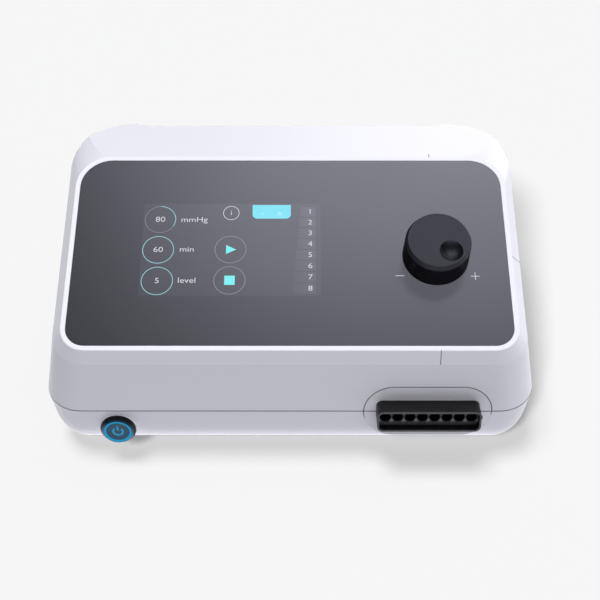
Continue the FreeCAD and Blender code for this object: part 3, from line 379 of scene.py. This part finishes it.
def socket_black():
    """Moulded black, with painted highlights on the collar's lip and on the block's face, most between the
    holes.
    """
    lip_height, face_height, hole_pitch = 11.3, 5.6, 7.44
    face_half_length, face_half_width = 30.0, 6.0
    colour, pale = (0.0040, 0.0040, 0.0066), (0.36, 0.36, 0.38)
    finish = moulded("socket_black", colour, 0.42, grain=0.5, depth=0.01, specular_ior_level=0.3)
    x, y, z = finish.axes(finish.place(SOCKET, SOCKET_LEAN))
    # Painted highlights towards pale: the lip's edge catching light, and the block's face lifted out of
    # the collar's shade, brightest between the holes where their rims catch light.
    lip_highlight = near(z, lip_height, 0.45, 0.2)
    between = (x * (2 * math.pi / (hole_pitch * MM)) + math.pi / 2).sine().rise(0.1, 1.0)
    wedge_highlights = between * near(y, -2.2, 1.2, 1.0)
    face = near(z, face_height, 0.35, 0.1) * near(x, 0, face_half_length, 0.3)
    face = face * near(y, 0, face_half_width, 0.2) * (0.24 + 0.76 * wedge_highlights)
    finish.set("base color", finish.blend((lip_highlight * 0.24).larger(face), colour, pale))
    return finish


FINISHES = {
    "white_shell": shell_white(),
    "panel_black": panel_sheet(),
    "tape": foam("foam_tape", (0.06, 0.06, 0.06), 0.5),
    "steel": brushed("pressed_steel", (0.56, 0.57, 0.59), 0.34),
    "screen": moulded("screen_glass", (0.03, 0.03, 0.035), 0.12, depth=0.001, coat_weight=1.0),
    "ribbon": moulded("flat_cable", (0.55, 0.33, 0.10), 0.4, tone=0.2),
    "board_green": circuit_board(),
    "component_black": moulded("component_black", (0.018, 0.018, 0.02), 0.48, depth=0.012, tone=0.25),
    "zinc": brushed("zinc_plate", (0.66, 0.67, 0.70), 0.24, 0.15),
    "dial_black": spun_black(),
    "bezel_black": bezel_black(),
    "ring_blue": lit("lamp_ring", (0.012, 0.25, 0.47), (0.01, 0.05, 0.1)),
    # The cap's faint blue emission is a painted glow of the lamp ring's light.
    "cap_dark": moulded("cap_dark", (0.022, 0.030, 0.046), 0.34, tone=0.2, specular_ior_level=0.3,
                        emission_color=(0.004, 0.040, 0.075, 1.0), emission_strength=1.0),
    "socket_black": socket_black(),
    "hose_clear": clear_hose(),
    "acetal": moulded("acetal", (0.70, 0.70, 0.67), 0.42, tone=0.06),
    "motor_grey": moulded("motor_paint", (0.12, 0.125, 0.135), 0.45, grain=0.8, depth=0.03, tone=0.2),
    "head_alloy": moulded("cast_alloy", (0.55, 0.56, 0.58), 0.46, grain=0.9, depth=0.04, tone=0.12,
                          metallic=1.0),
    "rubber_black": moulded("rubber_black", (0.020, 0.020, 0.021), 0.72, grain=0.7, depth=0.02, tone=0.25),
    "brass_pin": brushed("nickel_pin", (0.60, 0.56, 0.46), 0.28, 0.12),
    "lead_brown": moulded("lead_brown", (0.14, 0.06, 0.03), 0.5, tone=0.2),
    "filter_grey": foam("filter_foam", (0.07, 0.07, 0.075)),
}
MARK_WHITE = lit("mark_white", (0.72, 0.72, 0.76))
MARK_GREY = lit("mark_grey", (0.27, 0.27, 0.31))
MARK_TEAL = lit("mark_teal", (0.33, 0.66, 0.70))
MARK_CYAN = lit("mark_cyan", (0.20, 0.90, 0.90))
MARK_SKY = lit("mark_sky", (0.22, 0.77, 0.92))
MARK_PALE = lit("mark_pale", (0.36, 0.84, 0.95))
POWER_BLUE = lit("power_blue", (0.016, 0.24, 0.44))

for part in frame["record"]["subparts"]:
    mesh = frame["nodes"][part["node"]].data
    mesh.materials.clear()
    mesh.materials.append(FINISHES[part["material_slot"]].material)


# ---- flat marks ----
LAYERS = (LIFT, LIFT + SKIN)       # heights of a mark's underside and face
ROUND_POINTS = 96                  # on a ring
CORNER_POINTS = 9                  # on a rounded corner
SHARPEST = 0.3                     # limit of a mitre: cosine of half the turn
STRETCH = 1.2                      # width of the letters
CURVE_STEPS = 5                    # in each curved stretch of a letter
CLOSE = 1e-5                       # nearer points are merged
ON_PANEL = []                      # marks that mirror what the panel mirrors


def circle(x, y, radius, count=ROUND_POINTS, start=0.0, end=360.0):
    """Points of an arc, both ends included unless it is a full turn."""
    full = end - start >= 360.0
    steps = count if full else count - 1
    turns = [math.radians(start + (end - start) * i / steps) for i in range(count)]
    return [(x + radius * math.cos(t), y + radius * math.sin(t)) for t in turns]


def band(inner, outer, closed=True):
    """Closed thin solid between two matching lines of points."""
    mesh = bmesh.new()
    rows = [[mesh.verts.new((x, y, z)) for x, y in side] for z in LAYERS for side in (inner, outer)]
    in_low, out_low, in_high, out_high = rows
    count = len(inner)
    for i in range(count if closed else count - 1):
        j = (i + 1) % count
        mesh.faces.new((in_high[i], out_high[i], out_high[j], in_high[j]))
        mesh.faces.new((in_low[i], in_low[j], out_low[j], out_low[i]))
        mesh.faces.new((out_low[i], out_low[j], out_high[j], out_high[i]))
        mesh.faces.new((in_low[j], in_low[i], in_high[i], in_high[j]))
    if not closed:
        for i in (0, count - 1):
            mesh.faces.new((in_low[i], out_low[i], out_high[i], in_high[i]))
    return mesh


def ring(x, y, radius, width, start=0.0, end=360.0):
    """Ring of even width, or a stretch of one."""
    inner = circle(x, y, radius - width / 2, start=start, end=end)
    outer = circle(x, y, radius + width / 2, start=start, end=end)
    return band(inner, outer, closed=end - start >= 360.0)


def stroke(points, width):
    """Mitred line of even width through points."""
    left, right = [], []
    for i, (x, y) in enumerate(points):
        before = Vector(points[max(i - 1, 0)])
        after = Vector(points[min(i + 1, len(points) - 1)])
        here = Vector((x, y))
        along = ((here - before).normalized() + (after - here).normalized()).normalized()
        side = Vector((-along.y, along.x))
        run = (after - here) if i == 0 else (here - before)
        spread = width / 2 / max(SHARPEST, abs(side.dot(Vector((-run.y, run.x)).normalized())))
        left.append(tuple(here + side * spread))
        right.append(tuple(here - side * spread))
    return band(left, right, closed=False)


def plate(points):
    """Closed thin solid over an outline."""
    mesh = bmesh.new()
    low, high = ([mesh.verts.new((x, y, z)) for x, y in points] for z in LAYERS)
    mesh.faces.new(high)
    mesh.faces.new(list(reversed(low)))
    for i in range(len(points)):
        j = (i + 1) % len(points)
        mesh.faces.new((low[i], low[j], high[j], high[i]))
    return mesh


def rounded(left, right, bottom, top, low_corner, high_corner):
    """Outline with its own lower and upper corner radii."""
    points = []
    corners = [(right, top, -1, -1, high_corner, 0), (left, top, 1, -1, high_corner, 90),
               (left, bottom, 1, 1, low_corner, 180), (right, bottom, -1, 1, low_corner, 270)]
    for x, y, inward_x, inward_y, radius, start in corners:
        if radius:
            middle = (x + inward_x * radius, y + inward_y * radius)
            points += circle(*middle, radius, CORNER_POINTS, start, start + 90)
        else:
            points.append((x, y))
    return points


def as_mesh(thing):
    """Evaluated copy of an object that isn't kept."""
    bpy.context.scene.collection.objects.link(thing)
    ready = thing.evaluated_get(bpy.context.evaluated_depsgraph_get())
    mesh = bpy.data.meshes.new_from_object(ready)
    bpy.data.objects.remove(thing)
    return mesh


def lettering(words, size, middle, weight):
    """Words centred on a point, as a thin solid; a weight below 0 makes the letters thinner."""
    curve = bpy.data.curves.new("words", "FONT")
    curve.body = words
    curve.size = size
    curve.align_x = "CENTER"
    curve.align_y = "CENTER"
    curve.extrude = SKIN / 2
    curve.offset = weight
    curve.resolution_u = CURVE_STEPS
    flat = as_mesh(bpy.data.objects.new("words", curve))
    mesh = bmesh.new()
    mesh.from_mesh(flat)
    bmesh.ops.remove_doubles(mesh, verts=mesh.verts, dist=CLOSE)
    move = Matrix.Translation((*middle, LIFT + SKIN / 2)) @ Matrix.Diagonal((STRETCH, 1, 1, 1))
    bmesh.ops.transform(mesh, matrix=move, verts=mesh.verts)
    return mesh


def fit(name, meshes, place, body, finish):
    """Joins loose solids into one piece, puts it in its place and lets it ride on a body."""
    whole = bpy.data.meshes.new(name)
    joined = bmesh.new()
    for mesh in meshes:
        part = bpy.data.meshes.new("part")
        bmesh.ops.recalc_face_normals(mesh, faces=mesh.faces)
        mesh.to_mesh(part)
        joined.from_mesh(part)
        bpy.data.meshes.remove(part)
    joined.to_mesh(whole)
    whole.transform(place)
    whole.materials.append(finish.material)
    piece = bpy.data.objects.new(name, whole)
    bpy.context.scene.collection.objects.link(piece)
    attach(piece, body)
    if place is PANEL:
        ON_PANEL.append(piece)


# ---- display ----
LINE = 0.41                        # width of the rings
THIN_LINE = 0.3
CHANNELS = 8
CHANNEL_TOP = 93.1
CHANNEL_STEP = 7.82
NUMBERS_MIDDLE = 12.4
TABS_RIGHT = 15.8
GAUGES = ((-81.2, 87.4), (-81.4, 65.5), (-80.9, 43.6))
GAUGE_RADIUS = 9.55
READINGS = ("80", "60", "5")
UNITS = (("mmHg", (-60.0, 87.2)), ("min", (-63.7, 65.7)), ("level", (-62.8, 43.8)))
READING_SIZE = 5.3
UNIT_SIZE = 5.2
NUMBER_SIZE = 4.9
READING_WEIGHT = -0.035
WEIGHT = -0.02
PLAY = (-36.8, 65.65)
STOP = (-36.8, 44.0)
INFO = (-37.0, 92.2)
INFO_RADIUS = 4.9
INFO_LINE = 0.36
DRAWER = (-23.7, 0.3, 88.1, 98.2)  # left, right, bottom and top
DRAWER_CORNER = 3.0                # radius of its lower corners


def display_figures():
    """Readings in the gauges, their units, the channel numbers and the information sign."""
    figures = [lettering(words, READING_SIZE, middle, READING_WEIGHT)
               for words, middle in zip(READINGS, GAUGES)]
    figures += [lettering(words, UNIT_SIZE, middle, WEIGHT) for words, middle in UNITS]
    for i in range(CHANNELS):
        middle = (NUMBERS_MIDDLE, CHANNEL_TOP - CHANNEL_STEP * i)
        figures.append(lettering(str(i + 1), NUMBER_SIZE, middle, WEIGHT))
    x, y = INFO
    stem_foot, stem_top, stem_width = -1.5, 0.7, 0.4
    dot_height, dot_radius, dot_points = 1.6, 0.28, 16
    figures.append(stroke([(x, y + stem_foot), (x, y + stem_top)], stem_width))
    figures.append(plate(circle(x, y + dot_height, dot_radius, dot_points)))
    figures.append(ring(x, y, INFO_RADIUS, INFO_LINE))
    fit("display_figures", figures, PANEL, "console", MARK_WHITE)


def display_rings():
    """Rings round the readings and signs; a third of the first gauge is filled."""
    first, second, third = GAUGES
    filled_from, filled_to, empty_to = -30, 90, 330
    grey = [ring(*first, GAUGE_RADIUS, THIN_LINE, filled_to, empty_to)]
    grey += [ring(*middle, GAUGE_RADIUS, LINE) for middle in (PLAY, STOP)]
    fit("display_button_rings", grey, PANEL, "console", MARK_GREY)
    teal = [ring(*middle, GAUGE_RADIUS, LINE) for middle in (second, third)]
    teal.append(ring(*first, GAUGE_RADIUS, LINE, filled_from, filled_to))
    fit("display_gauge_rings", teal, PANEL, "console", MARK_TEAL)


def display_signs():
    """Play triangle and stop square."""
    half = 3.2                     # half the height of both
    back, tip, corner = 2.7, 3.5, 0.4
    x, y = PLAY
    triangle = plate([(x - back, y + half), (x - back, y - half), (x + tip, y)])
    x, y = STOP
    square = plate(rounded(x - half, x + half, y - half, y + half, corner, corner))
    fit("display_symbols", [triangle, square], PANEL, "console", MARK_CYAN)


def display_drawer():
    """Bright drawer at the top edge, with a chevron and a pointer on it."""
    drawer = plate(rounded(*DRAWER, DRAWER_CORNER, 0))
    fit("display_drawer", [drawer], PANEL, "console", MARK_SKY)
    x, y, half, width = -17.8, 91.0, 1.3, 0.6
    chevron = stroke([(x - half, y + half), (x, y), (x + half, y + half)], width)
    x, y, half, height = -6.7, 90.8, 1.7, 2.8
    pointer = plate([(x - half, y), (x + half, y), (x, y + height)])
    for arrow in (chevron, pointer):
        bmesh.ops.translate(arrow, vec=(0, 0, SKIN), verts=arrow.verts)
    fit("display_arrows", [chevron, pointer], PANEL, "console", MARK_PALE)


# ---- marks by the dial and on the button ----
DISH_LOW = -0.5                    # middle of the button's dished face
DISH_RADIUS = 60.0
DISH_GAP = 0.02                    # between that face and the symbol


def dial_marks():
    """Minus and plus in front of the dial."""
    minus, plus = (66.9, 47.2), (112.8, 46.9)
    half, thick = 2.65, 0.18       # half the length and half the width of a stroke
    marks = [plate(rounded(x - half, x + half, y - thick, y + thick, 0, 0)) for x, y in (minus, plus)]
    x, y = plus
    for bottom, top in ((thick, half), (-half, -thick)):
        marks.append(plate(rounded(x - thick, x + thick, y + bottom, y + top, 0, 0)))
    fit("dial_marks", marks, PANEL, "console", MARK_WHITE)


def power_symbol():
    """Broken ring and bar on the dished face of the button."""
    middle, radius, width, start, end = (0.1, 0.15), 2.95, 1.35, 134, 406
    arc = ring(*middle, radius, width, start, end)
    half_width, heights = 0.58, (0.9, 2.2, 3.5, 4.6)
    bar = band([(-half_width, y) for y in heights], [(half_width, y) for y in heights], closed=False)
    for mesh in (arc, bar):
        for vert in mesh.verts:
            x, y, z = vert.co
            vert.co.z = DISH_LOW + (x ** 2 + y ** 2) / (2 * DISH_RADIUS) + DISH_GAP + (z - LIFT)
    fit("power_symbol", [arc, bar], BUTTON, "power_button", POWER_BLUE)


# ---- repeated pieces, grown by node trees ----
class Growth(Graph):
    """A Geometry Nodes tree with named inputs for its sizes."""

    def __init__(self, name, sizes):
        tree = bpy.data.node_groups.new(name, "GeometryNodeTree")
        super().__init__(tree)
        self.sizes = sizes
        kinds = {int: "NodeSocketInt", float: "NodeSocketFloat"}
        for key, value in sizes.items():
            tree.interface.new_socket(key, in_out="INPUT", socket_type=kinds[type(value)])
        tree.interface.new_socket("Geometry", in_out="OUTPUT", socket_type="NodeSocketGeometry")
        self.entry = tree.nodes.new("NodeGroupInput")
        self.exit = tree.nodes.new("NodeGroupOutput")

    def size(self, key):
        return Signal(self, self.entry.outputs[key])

    def grow(self, geometry, material):
        """Plain mesh of the finished tree."""
        real = self.add("GeometryNodeRealizeInstances", (), (geometry,))
        dressed = self.add("GeometryNodeSetMaterial", (), {"Geometry": real, "Material": material})
        self.feed(self.exit.inputs[0], dressed)
        seed = bpy.data.objects.new("seed", bpy.data.meshes.new("seed"))
        modifier = seed.modifiers.new("grow", "NODES")
        modifier.node_group = self.tree
        for item in self.tree.interface.items_tree:
            if item.in_out == "INPUT":
                modifier[item.identifier] = self.sizes[item.name]
        return as_mesh(seed)


def tab_grey():
    """Panel sheet with light behind it, and painted shade that makes it darker to the left and paler to
    the right.
    """
    finish = Finish("tab_grey", specular_ior_level=1.0, specular_tint=SHEET_TINT)
    here = finish.place(PANEL, PANEL_LEAN)
    u, v, w = finish.axes(here)
    # Painted shade: the colour runs from darker at the left edge to paler at the right.
    left, right = (0.040, 0.040, 0.046), (0.058, 0.058, 0.066)
    finish.set("base color", finish.blend(u.rise(1.0 * MM, 13.0 * MM), left, right))
    finish.set("roughness", 0.31 + 0.05 * finish.noise(here, 400.0))
    return finish


def one_tab(tree):
    """Thin rounded slab with its right edge at the origin."""
    width, height = tree.size("Width"), tree.size("Height")
    outline = tree.add("GeometryNodeCurvePrimitiveQuadrilateral", (), (width, height))
    corners = {"Curve": outline, "Radius": tree.size("Corner"), "Count": 5}
    outline = tree.add("GeometryNodeFilletCurve", {"mode": "POLY"}, corners)
    to_left = tree.add("ShaderNodeCombineXYZ", (), (width * -0.5, 0.0, 0.0))
    outline = tree.add("GeometryNodeTransform", (), {"Geometry": outline, "Translation": to_left})
    base = tree.add("GeometryNodeFillCurve", {"mode": "NGONS"}, {"Curve": outline})
    up = tree.add("ShaderNodeCombineXYZ", (), (0.0, 0.0, 1.0))
    raising = {"Mesh": base, "Offset": up, "Offset Scale": tree.size("Thickness"), "Individual": False}
    raised = tree.add("GeometryNodeExtrudeMesh", {"mode": "FACES"}, raising)
    slab = tree.add("GeometryNodeJoinGeometry", (), (raised,))
    tree.feed(slab.socket.node.inputs[0], tree.add("GeometryNodeFlipFaces", (), {"Mesh": base}))
    return tree.add("GeometryNodeMergeByDistance", (), {"Geometry": slab, "Distance": CLOSE})


def channel_tabs():
    """Eight pale tabs behind the channel numbers, each a little wider than the one above."""
    finish = tab_grey()
    sizes = {"Count": CHANNELS, "Step": CHANNEL_STEP, "Width": 9.6, "Height": 7.1, "Corner": 1.0,
             "Growth": 0.066, "Thickness": SKIN}
    tree = Growth("channel_tabs", sizes)
    step = tree.add("ShaderNodeCombineXYZ", (), (0.0, tree.size("Step") * -1.0, 0.0))
    line = tree.add("GeometryNodeMeshLine", (), {"Count": tree.size("Count"), "Offset": step})
    widen = tree.size("Growth") * tree.add("GeometryNodeInputIndex") + 1.0
    scale = tree.add("ShaderNodeCombineXYZ", (), (widen, 1.0, 1.0))
    row = {"Points": line, "Instance": one_tab(tree), "Scale": scale}
    tabs = tree.add("GeometryNodeInstanceOnPoints", (), row)
    solid = bmesh.new()
    solid.from_mesh(tree.grow(tabs, finish.material))
    bmesh.ops.translate(solid, vec=(TABS_RIGHT, CHANNEL_TOP, LIFT - SKIN), verts=solid.verts)
    fit("channel_tabs", [solid], PANEL, "console", finish)


display_figures()
display_rings()
display_signs()
display_drawer()
channel_tabs()
dial_marks()
power_symbol()


# ---- floor, light and camera ----
BACKGROUND = 0.926                 # even white that the camera sees
FLOOR_TONE = 0.05                  # share of the lamps' light that the paper returns
FLOOR_GLOW = 0.254                 # rest of the paper's white, without shadow
FLOOR_BOUNCE = 0.81                # what it sends back to the console's sides
FLOOR_NEAR = 2.6                   # and adds under its base
BASE_HALF = (146.0, 87.0)          # half length and half width of that stretch of floor
BASE_EDGE = 8.0                    # half the width of its soft edge
LEFT_LOSS = 0.2                    # share of both that is lost on the left
LEFT_SIDE = (-300.0, -140.0)       # where it is lost in full, and where not at all
BOUNCE_COLOUR = (0.94, 0.94, 1.06, 1.0)
REACH = 6000.0                     # half the floor's length
# Overhead lights of the dome: direction, cosine at the edge, level in the middle.
DOME = [((0, 0, 1), 0.85, 2.2), ((0, 0.4, 0.9), 0.85, 1.65), ((0.5, -0.5, 0.7), 0.85, 0.86),
        ((1, 0.5, 0.3), 0.85, 1.63), ((0, 1, 0.5), 0.6, 0.44), ((0, -0.35, 0.94), 0.6, 0.5),
        ((0.5, 0.5, 0.7), 0.85, 1.3)]
DOME_COLOUR = (0.97, 0.97, 1.04, 1.0)
MIRRORED = 0.08                    # dome as polished surfaces show it
FRONT_LEVEL = 3.2                  # low bright wall in front, that the front chamfer mirrors
FRONT_SIDE = (-0.9, -0.6)          # its edges, as Y of the direction, and at foot and top as Z
FRONT_FOOT = (0.0, 0.06)
FRONT_TOP = (0.35, 0.5)
BANK_LEVEL = 2.4                   # bright wall behind, strongest on the right, that the deck mirrors
BANK_ACROSS = (-0.22, 0.26)        # its edges, as slopes from the upright
BANK_BACK = (1.0, 1.25)
AWAY = 60.0                        # height of the softboxes, in metres
# Overhead softboxes that show only as reflections: left, right, near and far edge as slopes from the
# upright, and level.
PANEL_KEY = (-0.142, 0.43, 0.252, 0.675, 5.8)
CONSOLE_KEY = (-0.5, 0.6, -0.1, 0.9, 3.6)
# Lamps that cast the floor's shadow: direction as slopes from the upright, angle across, strength.
SHADE = [("front_shade", -0.20, 0.05, 0.39, 19.1), ("side_shade", -0.36, -0.72, 0.2, 25.9)]


def floor():
    """Paper that the camera, polished surfaces and matt surfaces each see at a level of its own."""
    finish = Finish("floor_paper", roughness=0.9, specular_ior_level=0.0)
    finish.set("base color", (FLOOR_TONE, FLOOR_TONE, FLOOR_TONE, 1.0))
    shadowed = Signal(finish, finish.surface.outputs[0])
    white = finish.add("ShaderNodeAddShader", (), (shadowed, finish.glow(FLOOR_GLOW)))
    x, y, z = finish.axes(finish.place())
    half_length, half_width = BASE_HALF
    close_by = near(x, 0, half_length, BASE_EDGE) * near(y, 0, half_width, BASE_EDGE)
    far_bounce = finish.glow(FLOOR_BOUNCE, BOUNCE_COLOUR)
    near_bounce = finish.glow(FLOOR_BOUNCE + FLOOR_NEAR, BOUNCE_COLOUR)
    bounce = finish.mixed(close_by, far_bounce, near_bounce)
    lost, whole = LEFT_SIDE
    bounce = finish.mixed(x.rise(lost * MM, whole * MM, LEFT_LOSS, 0.0), bounce, finish.glow(0.0))
    finish.show("Material Output", bounce, finish.glow(BACKGROUND), white)
    finish.material.cycles.emission_sampling = "NONE"
    mesh = bpy.data.meshes.new("floor")
    reach = REACH * MM
    corners = [(-reach, -reach, 0), (reach, -reach, 0), (reach, reach, 0), (-reach, reach, 0)]
    mesh.from_pydata(corners, [], [(0, 1, 2, 3)])
    mesh.materials.append(finish.material)
    piece = bpy.data.objects.new("floor", mesh)
    bpy.context.scene.collection.objects.link(piece)
    return piece


def hang(name, lamp, place, lit_things, blocking=()):
    """Puts a lamp at a place, to light chosen objects only."""
    piece = bpy.data.objects.new(name, lamp)
    piece.location = place
    piece.visible_camera = False
    bpy.context.scene.collection.objects.link(piece)
    for role, things in (("receiver", lit_things), ("blocker", blocking)):
        if things:
            group = bpy.data.collections.new(f"{name}_{role}s")
            for thing in things:
                group.objects.link(thing)
            setattr(piece.light_linking, f"{role}_collection", group)
    return piece


def softbox(name, edges, lit_things, blocking=()):
    """Level rectangle high above that shows only as a reflection."""
    left, right, front, far, level = edges
    lamp = bpy.data.lights.new(name, "AREA")
    lamp.shape = "RECTANGLE"
    lamp.size, lamp.size_y = (right - left) * AWAY, (far - front) * AWAY
    lamp.energy = level * math.pi * lamp.size * lamp.size_y
    place = ((left + right) / 2 * AWAY, (front + far) / 2 * AWAY, AWAY)
    hang(name, lamp, place, lit_things, blocking).visible_diffuse = False


def studio_lamps(paper):
    """Shadow lamps for the paper, and what the panel and the rest of the console mirror."""
    for name, across, back, angle, strength in SHADE:
        lamp = bpy.data.lights.new(name, "SUN")
        lamp.angle, lamp.energy = angle, strength
        source = Vector((across, back, 1.0))
        piece = hang(name, lamp, source, [paper])
        piece.rotation_mode = "QUATERNION"
        piece.rotation_quaternion = source.to_track_quat("Z", "Y")
    panel = frame["nodes"]["face_panel"]
    others = [node for node in frame["nodes"].values() if node is not panel]
    softbox("panel_key", PANEL_KEY, [panel, *ON_PANEL], [paper])
    softbox("console_key", CONSOLE_KEY, others)


def world_light():
    """Dome of soft lights for matt surfaces, bright walls for polished ones, white for the camera."""
    world = bpy.data.worlds.new("studio")
    world.use_nodes = True
    graph = Graph(world.node_tree)
    direction = graph.add("ShaderNodeTexCoord", output="Generated")
    x, y, z = graph.axes(direction)
    dome = 0.0
    for axis, edge, level in DOME:
        parts = (direction, Vector(axis).normalized())
        towards = graph.add("ShaderNodeVectorMath", {"operation": "DOT_PRODUCT"}, parts, "Value")
        dome = dome + level / (1 - edge) * (towards - edge).larger(0.0)
    above = z.larger(0.02)         # kept off 0, for the slopes
    bank = (x / above).rise(*BANK_ACROSS) * (y / above).rise(*BANK_BACK)
    front = y.rise(*FRONT_SIDE, 1.0, 0.0) * z.rise(*FRONT_FOOT) * z.rise(*FRONT_TOP, 1.0, 0.0)
    walls = bank * BANK_LEVEL + front * FRONT_LEVEL + MIRRORED
    levels = ((dome, DOME_COLOUR), (walls, WHITE), (BACKGROUND, WHITE))
    shaders = [graph.add("ShaderNodeBackground", (), {"Strength": s, "Color": c}) for s, c in levels]
    graph.show("World Output", *shaders)
    world.cycles.sampling_method = "NONE"
    bpy.context.scene.world = world


CAMERA_PLACE = (6.04, -509.22, SEAM + 551.46)
PITCH, YAW, ROLL = 47.08, 0.006, 0.024    # in degrees; a positive pitch looks down
SENSOR = 36.0
PICTURE_WIDTH = 600.0              # in pixels
FOCAL_LENGTH = 1133.325            # in pixels


def camera():
    """Camera above and in front of the console."""
    lens = bpy.data.cameras.new("camera")
    lens.sensor_width = SENSOR
    lens.lens = FOCAL_LENGTH / PICTURE_WIDTH * SENSOR
    piece = bpy.data.objects.new("camera", lens)
    pitch, yaw, roll = (math.radians(angle) for angle in (PITCH, YAW, ROLL))
    ahead = Vector((math.sin(yaw) * math.cos(pitch), math.cos(yaw) * math.cos(pitch), -math.sin(pitch)))
    right = Vector((math.cos(yaw), -math.sin(yaw), 0))
    up = right.cross(ahead)
    turned_right = right * math.cos(roll) + up * math.sin(roll)
    turned_up = up * math.cos(roll) - right * math.sin(roll)
    basis = Matrix((turned_right, turned_up, -ahead)).transposed().to_4x4()
    piece.matrix_world = Matrix.Translation(Vector(CAMERA_PLACE) * MM) @ basis
    bpy.context.scene.collection.objects.link(piece)
    bpy.context.scene.camera = piece


studio_lamps(floor())
world_light()
camera()
bpy.context.scene.view_settings.view_transform = "Standard"
